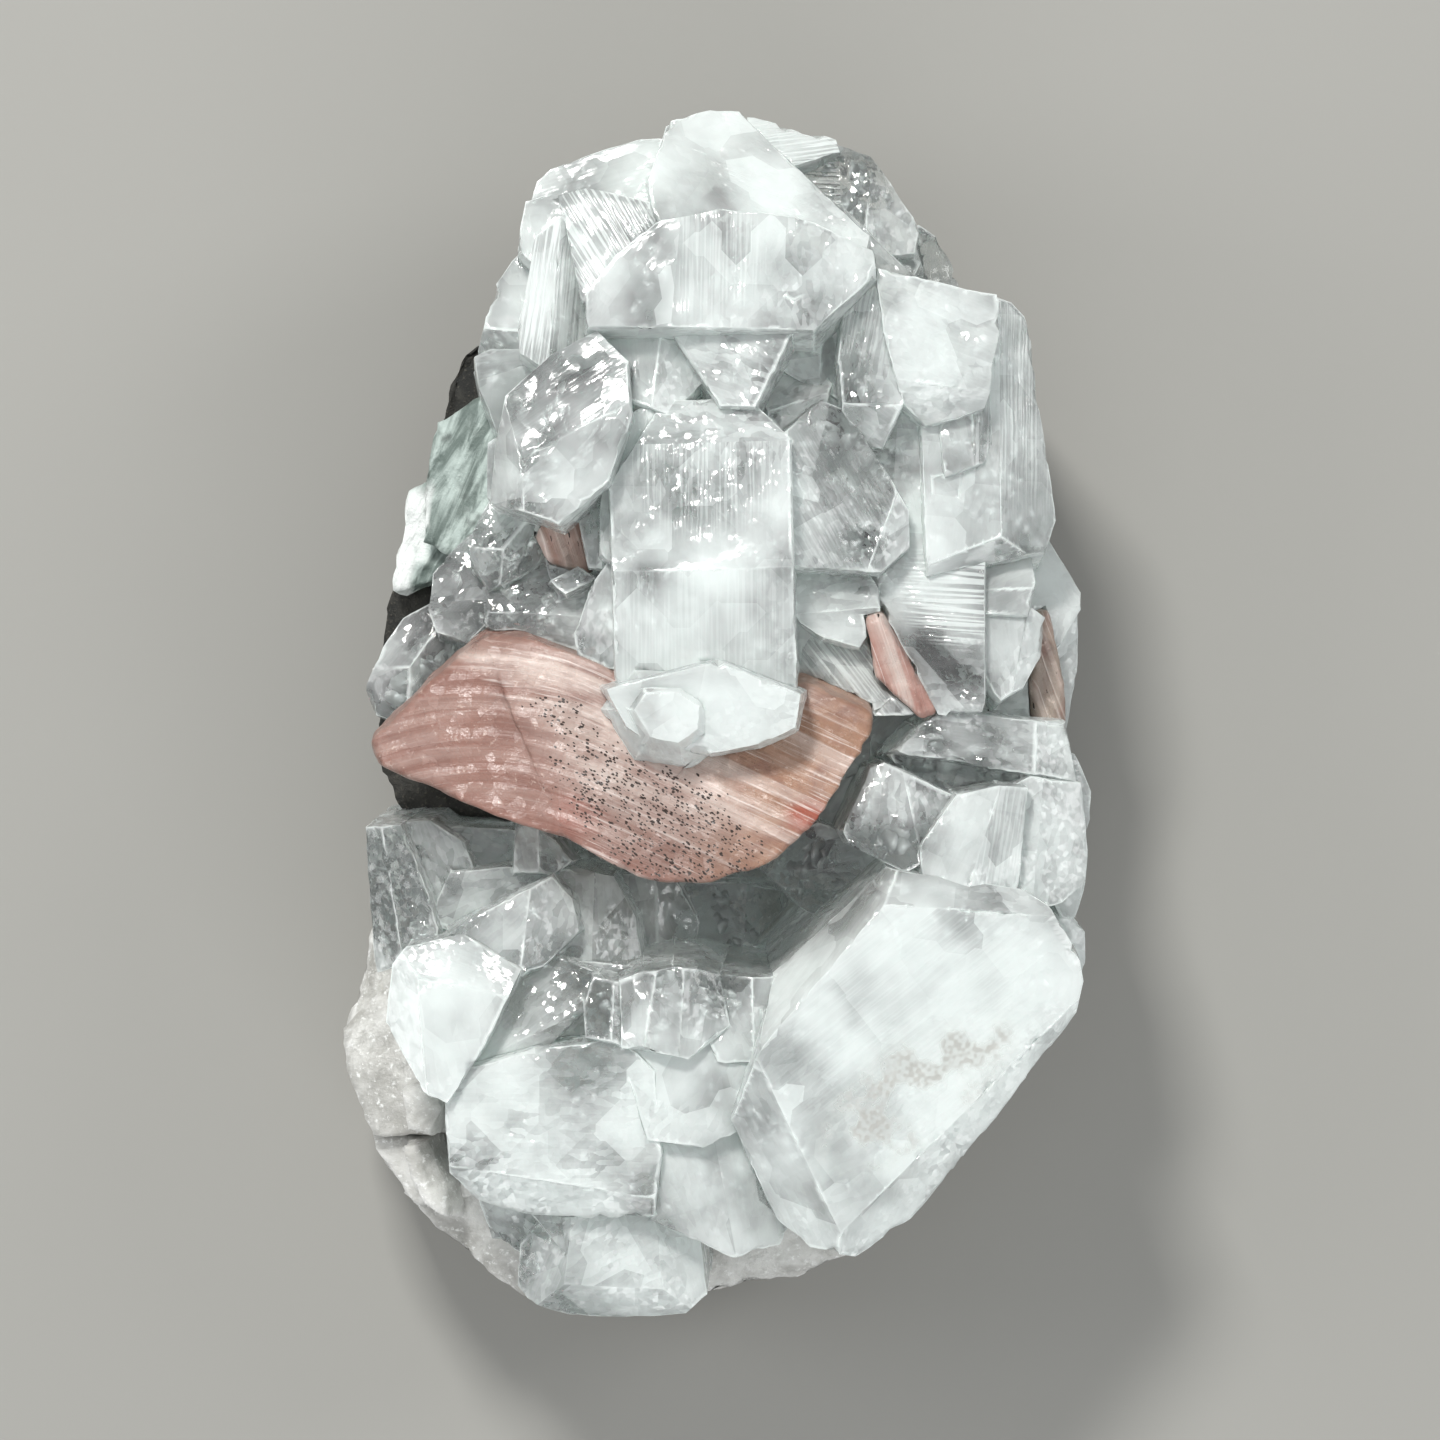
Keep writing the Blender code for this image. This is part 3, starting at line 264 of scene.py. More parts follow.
def relaxed(points, tris, rounds, share=0.5):
    """Rounds the edges: each round, point = (1 - share) * point + share * mean of its neighbours."""
    edges, _ = edge_table(tris)
    count = np.bincount(edges.reshape(-1), minlength=len(points))[:, None]
    for _ in range(rounds):
        total = np.zeros_like(points)
        np.add.at(total, edges[:, 0], points[edges[:, 1]])
        np.add.at(total, edges[:, 1], points[edges[:, 0]])
        points = (1 - share) * points + share * total / count
    return points


def point_normals(points, tris):
    """The mean direction of the faces round each point."""
    face = cross_of(points, tris)
    total = np.zeros_like(points)
    for k in range(3):
        np.add.at(total, tris[:, k], face)
    return total / np.maximum(np.linalg.norm(total, axis=1, keepdims=True), 1e-12)


def facet_axes(points, tris, facet):
    """Each facet's normal, its long direction, in which its points spread the most, its area and middle."""
    count = facet.max() + 1
    face = cross_of(points, tris)
    area = np.linalg.norm(face, axis=1)
    centre = points[tris].mean(axis=1)
    weight = np.bincount(facet, area, count) + 1e-12
    normal = np.stack([np.bincount(facet, face[:, i], count) for i in range(3)], axis=1)
    normal /= np.maximum(np.linalg.norm(normal, axis=1, keepdims=True), 1e-12)
    mean = np.stack([np.bincount(facet, area * centre[:, i], count) for i in range(3)], axis=1)
    mean /= weight[:, None]
    spread = np.zeros((count, 3, 3))
    for k in range(3):
        off = points[tris[:, k]] - mean[facet]
        np.add.at(spread, facet, area[:, None, None] * off[:, :, None] * off[:, None, :])
    long_way = np.linalg.eigh(spread)[1][:, :, 2]
    long_way -= normal * (long_way * normal).sum(axis=1, keepdims=True)
    long_way /= np.maximum(np.linalg.norm(long_way, axis=1, keepdims=True), 1e-12)
    return normal, long_way, weight / 2, mean


def make_object(name, points, tris, material):
    """A mesh object from points in millimetres."""
    mesh = bpy.data.meshes.new(name)
    mesh.vertices.add(len(points))
    mesh.vertices.foreach_set("co", (np.asarray(points) * MM).astype(np.float32).reshape(-1))
    mesh.loops.add(len(tris) * 3)
    mesh.loops.foreach_set("vertex_index", np.asarray(tris, np.int32).reshape(-1))
    mesh.polygons.add(len(tris))
    mesh.polygons.foreach_set("loop_start", np.arange(0, len(tris) * 3, 3, dtype=np.int32))
    mesh.update(calc_edges=True)
    mesh.materials.append(material)
    obj = bpy.data.objects.new(name, mesh)
    bpy.context.scene.collection.objects.link(obj)
    return obj


def set_sharp(obj, tris, facet):
    """Smooth shading within each facet and a crisp edge between two facets."""
    mesh = obj.data
    edges, sides = edge_table(tris)
    low = np.full(len(edges), 1 << 30)
    high = np.full(len(edges), -1)
    for k in range(3):
        np.minimum.at(low, sides[:, k], facet)
        np.maximum.at(high, sides[:, k], facet)
    crisp = low != high
    ends = np.empty(len(mesh.edges) * 2, np.int32)
    mesh.edges.foreach_get("vertices", ends)
    ends = np.sort(ends.reshape(-1, 2), axis=1)
    count = len(mesh.vertices)
    known = edges[:, 0].astype(np.int64) * count + edges[:, 1]
    wanted = ends[:, 0].astype(np.int64) * count + ends[:, 1]
    sharp = mesh.attributes.new("sharp_edge", "BOOLEAN", "EDGE")
    sharp.data.foreach_set("value", crisp[np.searchsorted(known, wanted)])
    mesh.polygons.foreach_set("use_smooth", np.ones(len(mesh.polygons), bool))


def set_uv(obj, uv):
    """The piece's own UV map, one pair for each corner."""
    layer = obj.data.uv_layers.new(name="along")
    layer.data.foreach_set("uv", np.asarray(uv, np.float32).reshape(-1))


def set_value(obj, name, values, domain="POINT"):
    """A named number on each point or face."""
    layer = obj.data.attributes.new(name, "FLOAT", domain)
    layer.data.foreach_set("value", np.asarray(values, np.float32))


def dress(obj, node):
    """The piece stands for the CAD node and moves with it."""
    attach(obj, "root")
    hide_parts(node)


# Settings that many nodes share.
TIMES, PLUS, LESS = ({"operation": name} for name in ("MULTIPLY", "ADD", "SUBTRACT"))
SMOOTH = {"interpolation_type": "SMOOTHSTEP"}
COLOUR = {"data_type": "RGBA", "out": 2}
FLAT = {"noise_dimensions": "2D"}
FLAT_CELLS = {"voronoi_dimensions": "2D", "out": "Color"}
HALF = (0.5, 0.5, 0.5)


class Shader:
    """A material's node tree round one Principled shader."""

    def __init__(self, name):
        self.material = bpy.data.materials.new(name)
        self.material.use_nodes = True
        self.tree = self.material.node_tree
        self.surface = self.tree.nodes["Principled BSDF"]
        self.output = self.tree.nodes["Material Output"]

    def add(self, kind, links=None, out=0, **settings):
        """Adds a node and returns one of its outputs, or the node itself where out is None. links maps a
        socket to an output or a value, and settings are the node's own properties."""
        made = self.tree.nodes.new("ShaderNode" + kind)
        for key, value in settings.items():
            setattr(made, key, value)
        for socket, value in (links or {}).items():
            self.join(value, made.inputs[socket])
        return made if out is None else made.outputs[out]

    def join(self, value, socket):
        """Links an output to the socket, or sets the socket to a plain value."""
        if isinstance(value, bpy.types.NodeSocket):
            self.tree.links.new(value, socket)
        else:
            socket.default_value = value

    def set(self, **sockets):
        """Sets the Principled shader's sockets, with _ for a space in a name."""
        for key, value in sockets.items():
            self.join(value, self.surface.inputs[key.replace("_", " ")])

    def read(self, *names):
        """The numbers that the mesh carries under these names."""
        return [self.add("Attribute", out="Fac", attribute_name=name) for name in names]


# Where the crystals are milky (1) or clear (0): x, y and radius in mm, then the value.
MILK = [
    (0, 35, 6, 0.95), (-8, 35, 4, 0.75), (6, 38, 2, 0.9), (8, 34, 3, 0.35), (12, 31, 2.5, 0.6),
    (14, 30, 2.5, 0.1), (-7, 31, 3, 0.85), (-11.5, 27, 2.5, 0.85), (-9, 27, 1.5, 0.1),
    (-14, 26, 3, 0.7), (-2, 29, 5, 0.75), (6, 29, 3, 0.6), (1, 23, 3, 0.7), (-5, 23, 3, 0.75),
    (6, 23, 2, 0.55), (10, 23, 2.5, 0.6), (15, 24, 4, 0.8), (19, 18, 3, 0.6), (16, 13, 3, 0.7),
    (-10.5, 18, 3.5, 0.65), (-14, 15, 1.5, 1.0), (-1, 17, 4, 0.55), (-1, 11, 3, 0.95),
    (-1, 5, 3.5, 0.62), (0, -1, 2.5, 0.95), (8, 14, 4, 0.6), (7, 7, 2.5, 0.75), (8, 2, 2, 0.6),
    (15, 2, 2.5, 0.25), (19.5, 3.5, 2, 0.75), (17, 8.5, 3, 0.8), (22.5, 7, 2, 0.8),
    (-13, 10, 2.5, 0.3), (-12, 6.5, 3, 0.35), (-17.5, 8, 2, 0.3), (-20, 3, 2, 0.5),
    (12, -7, 3, 0.65), (18, -8, 4, 0.85), (16, -3, 3, 0.35), (23, -6, 2, 0.7), (7, -10.5, 3, 0.3),
    (-20, -11, 4, 0.35), (-13, -13, 3, 0.5), (-5, -14, 4, 0.3), (2, -14, 3, 0.15),
    (-18, -20, 4, 0.9), (-12, -19.5, 2.5, 0.3), (-2, -20, 4, 0.5), (-10, -27, 5, 0.6),
    (-1, -27, 3, 0.6), (13, -21, 8, 0.9), (5, -30, 3, 0.8), (-7, -36.5, 3.5, 0.65),
    (-13, -35, 2, 0.5), (2, -33, 3, 0.55),
]

# Where the crystals are crazed into small glinting cells (1) or sound (0), in the same form.
CRAZED = [
    (0, 36, 5, 0.35), (-8, 35, 4, 0.15), (9, 31, 3, 0.8), (13, 31, 2, 0.5), (-3, 29, 4, 0.2),
    (4, 29, 3, 0.6), (2, 23.5, 3, 0.9), (-8, 20, 4, 0.1), (-1, 18, 4, 0.8), (-1, 11, 3, 0.3),
    (-1, 5, 3.5, 0.1), (1, -1, 2, 0.6), (8, 14, 4, 0.7), (15, 24, 3, 0.4), (19, 18, 3, 0.5),
    (15, 13, 3, 0.4), (-13, 9, 4, 0.7), (-20, 4, 3, 0.6), (8, 3, 3, 0.9), (18, -8, 4, 0.6),
    (16, -3, 3, 0.8), (7, -10, 3, 0.7), (-20, -12, 3, 0.7), (-13, -15, 4, 0.6), (-3, -14, 5, 0.6),
    (-18, -20, 3, 0.3), (-10, -27, 5, 1.0), (-2, -22, 4, 0.4), (12, -17, 5, 0.05),
    (12, -28, 4, 0.5), (18, -18, 3, 0.4), (-7, -36, 4, 0.8), (2, -30, 3, 0.4),
]

# Faces with clear growth lines: a point on the face, the lines' angle in the picture in degrees, their
# strength and how far from the point they reach in mm.
LINED = [
    (7.5, 34.0, -6, 1.0, 5), (5.5, 37.2, 14, 1.0, 4), (-7.2, 31.5, -60, 0.9, 4),
    (-11.6, 28.0, 82, 1.0, 7), (-9.5, 26.5, 80, 0.4, 5), (-1.0, 5.0, 90, 0.15, 7),
    (-1.0, 11.0, 2, 0.4, 4), (-1.0, 17.0, 90, 0.35, 5), (15.8, 8.0, -4, 1.0, 3.5),
    (17.0, 18.0, 88, 0.35, 6), (12.0, 20.0, 86, 0.3, 5), (9.5, 3.0, -52, 0.7, 4),
    (20.5, 22.0, 88, 0.4, 8), (13.0, -20.0, 38, 0.12, 9), (-1.0, 30.0, 88, 0.25, 4),
    (8.0, 14.0, -60, 0.15, 5), (10.5, 26.5, 80, 0.3, 4), (19.0, -8.0, 80, 0.25, 4),
]


def spots(points, table):
    """Each spot's last value, blended by distance: the sum of value * weight over the sum of weights, with
    weight = 1 / (0.02 + (distance / radius) ** 4)."""
    table = np.array(table)
    gap = np.linalg.norm(points[:, None, :2] - table[None, :, :2], axis=2) / table[None, :, 2]
    weight = 1 / (0.02 + gap**4)
    return (weight * table[None, :, 3]).sum(axis=1) / weight.sum(axis=1)


def apophyllite_material():
    """Apophyllite: clear glass with a faint mint tint, grown in flat faces. The eye sees clear glass where
    it is sound, white haze where it is full of tiny cracks, sparkle where it is crazed, fine growth lines,
    white broken edges and dry grey dirt.

    body, how hazy it is, = milk_and_wall_light + 0.7 * (cloud - 0.5) + 0.22 * (block - 0.5)
    + 0.28 * glint * (chip - 0.4) + 0.35 * growth lines + 0.45 * rough edge, from 0 to 1, with block and
    chip a random number for each cell. milk_and_wall_light is the milky zones plus a painted lightening
    that makes steep walls hazier and paler where they fall in shade."""
    s = Shader("apophyllite")
    along = s.add("UVMap", uv_map="along")
    names = ("milk_and_wall_light", "lined", "crazed", "edge", "dust", "cloud", "patchy", "worn")
    # The milk value holds the milky zones and also a painted lightening of steep walls that fall in shade.
    milk_and_wall_light, lined, crazed, edge, dust, cloud, patchy, worn = s.read(*names)

    line_place = s.add("VectorMath", {0: along, 1: GROWTH_LINES}, **TIMES)
    lines = s.add("TexNoise", {"Vector": line_place, "Scale": 1.0, "Detail": 0.0}, **FLAT)
    pits = s.add("TexNoise", {"Vector": along, "Scale": PITS, "Detail": 0.0}, **FLAT)
    chip_place = s.add("VectorMath", {0: along, 1: CHIPS}, **TIMES)
    blocks = s.add("TexVoronoi", {"Vector": along, "Scale": BLOCKS}, distance="CHEBYCHEV", **FLAT_CELLS)
    chips = s.add("TexVoronoi", {"Vector": chip_place, "Scale": 1.0}, distance="CHEBYCHEV", **FLAT_CELLS)
    crazing = s.add("TexVoronoi", {"Vector": along, "Scale": CRAZING}, **FLAT_CELLS)

    broken = s.add("MapRange", {0: edge, 1: 0.35, 2: 1.0}, **SMOOTH)
    rough_edge = s.add("Math", {0: broken, 1: worn}, **TIMES)
    glint = s.add("MapRange", {0: patchy, 1: 0.38, 2: 0.6, 3: 0.4, 4: 1.0}, **SMOOTH)
    glint = s.add("Math", {0: crazed, 1: glint}, **TIMES)
    shown_lines = s.add("MapRange", {0: lines, 1: 0.5, 2: 0.62}, **SMOOTH)
    shown_lines = s.add("Math", {0: shown_lines, 1: lined}, **TIMES)
    chip_amount = s.add("Math", {0: glint, 1: 0.28}, **TIMES)
    body = milk_and_wall_light
    for value, middle, amount in (
        (cloud, 0.5, 0.7),
        (s.add("SeparateColor", {0: blocks}), 0.5, 0.22),
        (s.add("SeparateColor", {0: chips}), 0.4, chip_amount),
        (shown_lines, 0.0, 0.35),
        (rough_edge, 0.0, 0.45),
    ):
        term = s.add("Math", {0: value, 1: middle}, **LESS) if middle else value
        term = s.add("Math", {0: term, 1: amount}, **TIMES)
        body = s.add("Math", {0: body, 1: term}, **PLUS)
    body = s.add("Clamp", {0: body})

    normal = s.add("NewGeometry", out="Normal")
    for cells, amount in (
        (crazing, s.add("Math", {0: glint, 1: 0.6}, **TIMES)),
        (blocks, 0.13),
        (chips, s.add("Math", {0: glint, 1: 0.2}, **TIMES)),
    ):
        lean = s.add("VectorMath", {0: cells, 1: HALF}, **LESS)
        lean = s.add("VectorMath", {0: lean, "Scale": amount}, operation="SCALE")
        normal = s.add("VectorMath", {0: normal, 1: lean}, **PLUS)
    normal = s.add("VectorMath", {0: normal}, operation="NORMALIZE")
    relief = s.add("Math", {0: lines, 1: s.add("Math", {0: lined, 1: 1.6}, **TIMES)}, **TIMES)
    pitted = s.add("MapRange", {0: rough_edge, 1: 0.0, 2: 1.0, 3: 0.05, 4: 0.7}, **SMOOTH)
    for value, amount in ((pits, pitted), (cloud, 4.0)):
        term = s.add("Math", {0: value, 1: amount}, **TIMES)
        relief = s.add("Math", {0: relief, 1: term}, **PLUS)

    dirt = s.add("MapRange", {0: pits, 1: 0.3, 2: 0.7, 3: 0.55, 4: 1.0}, **SMOOTH)
    dirt = s.add("Math", {0: dust, 1: dirt}, **TIMES)
    haze = s.add("MapRange", {0: body, 1: 0.1, 2: 0.95}, **SMOOTH)
    colour = s.add("Mix", {0: haze, 6: linear("#FBFEFD"), 7: linear("#EFF6F3")}, **COLOUR)
    rough = s.add("MapRange", {0: milk_and_wall_light, 1: 0.2, 2: 1.0, 3: 0.04, 4: 0.18}, **SMOOTH)
    for value, amount in ((rough_edge, 0.2), (dirt, 0.4)):
        term = s.add("Math", {0: value, 1: amount}, **TIMES)
        rough = s.add("Math", {0: rough, 1: term}, **PLUS)
    clear = s.add("MapRange", {0: body, 1: 0.15, 2: 1.05, 3: 0.94, 4: 0.28}, **SMOOTH)
    clean = s.add("Math", {0: 1.0, 1: dirt}, **LESS)
    s.set(
        Base_Color=s.add("Mix", {0: dirt, 6: colour, 7: linear("#A3A29C")}, **COLOUR),
        Roughness=rough,
        IOR=1.535,
        Transmission_Weight=s.add("Math", {0: clear, 1: clean}, **TIMES),
        Subsurface_Weight=0.25,
        Subsurface_Radius=(0.9, 1.0, 0.97),
        Subsurface_Scale=0.004,
        Normal=s.add("Bump", {"Height": relief, "Distance": 0.0001, "Strength": 0.7, "Normal": normal}),
    )
    mint = s.add("VolumeAbsorption", {"Color": (0.84, 0.95, 0.92, 1.0), "Density": 14.0})
    s.tree.links.new(mint, s.output.inputs["Volume"])
    return s.material


def crystals():
    """All the grown-together crystals, with every mark that their material reads.
    Each point moves out by growth + 0.09 * noise of 3.2 mm + 0.05 * noise of 0.9 mm - 0.4 * chips in the
    ridges. milk_and_wall_light is half the blend of the table at the spot and half the whole facet's own
    value, and that value is raised on steep walls as a painted lightening of walls that fall in shade."""
    points, tris = solid_mesh("apophyllite_crystals")
    facet = facets_of(points, tris)
    normal, along, area, mean = facet_axes(points, tris, facet)
    tree = BVHTree.FromPolygons(points.tolist(), tris.tolist())
    rng = np.random.default_rng(SEED)
    lined = 0.06 * rng.random(len(area))
    reach = np.full((len(area), 3), EVERYWHERE)
    # Growth lines follow each facet's long direction, or the way that the table gives.
    for x, y, angle, strength, far in LINED:
        hit = tree.ray_cast(Vector((x, y, 100)), Vector((0, 0, -1)))[2]
        if hit is not None:
            one = facet[hit]
            way = np.array([math.cos(math.radians(angle)), math.sin(math.radians(angle)), 0.0])
            way -= normal[one] * (way @ normal[one])
            along[one] = way / np.linalg.norm(way)
            lined[one] = strength
            reach[one] = (x, y, far)
    facet_milk_and_wall_light = spots(mean, MILK) + rng.uniform(-0.16, 0.16, len(area))
    # Painted lightening: steep walls that fall in shade get up to 0.35 more milk, so they look hazy and pale.
    facet_milk_and_wall_light += 0.35 * eased(0.6, 0.2, normal[:, 2])
    edge = ridges_of(points, tris, facet, normal, mean)
    longest = np.where(normal[:, 2] > LOOKS_UP, FINE_EDGE, COARSE_EDGE)
    points, tris, facet, edge = halved(points, tris, facet, longest, edge)
    shift = GROWTH + 0.09 * layered_noise(points, 3.2, SEED)
    shift += 0.05 * layered_noise(points, 0.9, SEED + 30, 2)
    shift -= 0.4 * edge * eased(0.35, 1.0, layered_noise(points, 1.1, SEED + 40))
    points = points + point_normals(points, tris) * shift[:, None]

    obj = make_object("apophyllite", points, tris, apophyllite_material())
    across = np.cross(normal, along)
    # Each facet has its own place on the pattern, up to 400 mm along it, so that no two look alike.
    corner = points[tris]
    u = (corner * along[facet][:, None, :]).sum(axis=2)
    v = (corner * across[facet][:, None, :]).sum(axis=2) + rng.uniform(0, 400, len(area))[facet][:, None]
    set_uv(obj, np.stack([u, v], axis=2) / UV_SPAN)
    set_sharp(obj, tris, facet)
    # This value carries the milky zones and the painted lightening of steep walls.
    milk_and_wall_light = 0.5 * spots(points[tris].mean(axis=1), MILK) + 0.5 * facet_milk_and_wall_light[facet]
    set_value(obj, "milk_and_wall_light", 0.13 + 0.73 * np.clip(milk_and_wall_light, 0, 1), "FACE")
    set_value(obj, "edge", edge)
    # Clouds of haze, patches that glint and stretches of broken edge.
    set_value(obj, "cloud", 0.5 + 0.4 * layered_noise(points, 4.5, SEED + 50, 4))
    set_value(obj, "patchy", 0.5 + 0.4 * layered_noise(points, 3.0, SEED + 60, 2))
    set_value(obj, "worn", 0.1 + 0.9 * eased(-0.25, 0.3, layered_noise(points, 2.0, SEED + 70)))
    # The long crystal has two streaks and a film of dirt, and its lower right edge is crazed.
    streak = oval(points, 14.2, -22.8, 7.5, 1.7, 19) + oval(points, 10.6, -27.8, 5.5, 2.4, 27)
    rim = eased(1.6, 0.4, np.abs((points[:, 0] - 16.5) * 0.78 - (points[:, 1] + 27.0) * 0.62))
    rim *= (points[:, 1] < -19) & (points[:, 0] > 8)
    film = 0.8 * oval(points, 13.0, -24.6, 9.0, 4.0, 30)
    grimy = eased(-0.45, 0.45, layered_noise(points, 1.7, SEED + 80, 3))
    set_value(obj, "dust", np.clip((0.9 * streak + film) * grimy, 0, 0.85))
    set_value(obj, "crazed", np.maximum((spots(points, CRAZED) - 0.18).clip(0) / 0.82, 0.9 * rim))
    middle = points[tris].mean(axis=1)[:, :2]
    off = np.linalg.norm(middle - reach[facet, :2], axis=1) / reach[facet, 2]
    own = reach[facet, 2] < EVERYWHERE
    set_value(obj, "lined", np.where(own, lined[facet] * eased(1.25, 0.7, off), lined[facet]), "FACE")
    dress(obj, "apophyllite_crystals")
    return points, tris


def veil_material():
    """Healed cracks inside the crystals, filled with gas and fluid. The eye sees them flash white."""
    s = Shader("healed_crack")
    s.set(Base_Color=linear("#F6FBF9"), Metallic=0.4, Roughness=0.25, IOR=1.4)
    return s.material


def inside(tree, places):
    """True for the places from which three rays all cross the surface an odd number of times."""
    answer = np.ones(len(places), bool)
    for way in (Vector((0.13, 0.21, 1.0)), Vector((1.0, 0.17, 0.09)), Vector((-0.11, -1.0, 0.15))):
        way.normalize()
        for i, place in enumerate(places):
            if not answer[i]:
                continue
            crossings = 0
            at = Vector(place)
            while True:
                hit = tree.ray_cast(at, way)[0]
                if hit is None:
                    break
                crossings += 1
                at = hit + way * 1e-4
            answer[i] = crossings % 2 == 1
    return answer


def unit(vectors):
    """The vectors at length 1."""
    return vectors / np.linalg.norm(vectors, axis=1, keepdims=True)


def veils(points, tris):
    """Healed cracks: swarms of thin wavy flakes inside the crystals. A flake is a ring with a raised middle
    on both sides, and its radius is at most 0.8 of the distance to the nearest face."""
    rng = np.random.default_rng(SEED + 3)
    tree = BVHTree.FromPolygons(points.tolist(), tris.tolist())
    face = cross_of(points, tris)
    area = np.linalg.norm(face, axis=1)
    seen = area * (face[:, 2] > 0)
    swarms, each, steps, thick = 120, 20, 12, 0.02
    # A swarm lies 0.8 to 3.5 mm under a face that looks up, near a plane of its own, longer than wide.
    pick = rng.choice(len(tris), swarms, p=seen / seen.sum())
    outward = face[pick] / area[pick, None]
    middle = points[tris[pick]].mean(axis=1) - outward * rng.uniform(0.8, 3.5, (swarms, 1))
    plane = unit(outward + rng.normal(0, 0.6, (swarms, 3)))
    spread = unit(np.cross(plane, rng.normal(0, 1, (swarms, 3))))
    beside = np.cross(plane, spread)
    place = rng.normal(0, 1, (swarms, each, 3)) * (2.6, 1.1, 0.12)
    axes = np.stack([spread, beside, plane], axis=1)
    centre = (middle[:, None, :] + np.einsum("sek,skc->sec", place, axes)).reshape(-1, 3)
    facing = np.repeat(plane, each, axis=0)
    room = np.array([tree.find_nearest(Vector(c))[3] for c in centre])
    keep = inside(tree, centre) & (room > 0.35)
    centre, facing, room = centre[keep], facing[keep], room[keep]
    count = len(centre)
    size = np.minimum(room * 0.8, rng.uniform(0.3, 1.7, count))
    tilt = unit(facing + rng.normal(0, 0.12, (count, 3)))
    side = unit(np.cross(tilt, rng.normal(0, 1, (count, 3))))
    other = np.cross(tilt, side)
    # The ring's radius and height vary as it goes round.
    turn = np.arange(steps) * 2 * math.pi / steps
    rim = 0.72 + 0.28 * rng.random((count, steps))
    x, y = rim * np.cos(turn), rim * np.sin(turn) * 0.7
    wave = 0.10 * np.sin(2 * turn[None, :] + rng.uniform(0, 6, (count, 1)))
    ring = (
        centre[:, None, :]
        + size[:, None, None] * (x[..., None] * side[:, None, :] + y[..., None] * other[:, None, :])
        + size[:, None, None] * wave[..., None] * tilt[:, None, :]
    )
    top = centre + tilt * thick
    bottom = centre - tilt * thick
    flakes = np.concatenate([ring, top[:, None, :], bottom[:, None, :]], axis=1)
    near = np.arange(steps)
    after = (near + 1) % steps
    upper = np.stack([near, after, np.full(steps, steps)], axis=1)
    lower = np.stack([after, near, np.full(steps, steps + 1)], axis=1)
    one = np.concatenate([upper, lower])
    faces = (one[None, :, :] + (steps + 2) * np.arange(count)[:, None, None]).reshape(-1, 3)
    obj = make_object("healed_cracks", flakes.reshape(-1, 3), faces, veil_material())
    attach(obj, "root")


def sheaf_line(points):
    """How far a point lies across the sheaf's fibres: y - arc + 0.25 * z. The fibres follow an arc, which is
    -0.45 * (x + 15) ** 2 / 16 to x = -7 and falls at 0.45 mm for each mm from there on."""
    x, y = points[:, 0], points[:, 1]
    fall = np.where(x < -7, -0.45 * (x + 15) ** 2 / 16, -1.8 - 0.45 * (x + 7))
    return y - fall + 0.25 * points[:, 2]


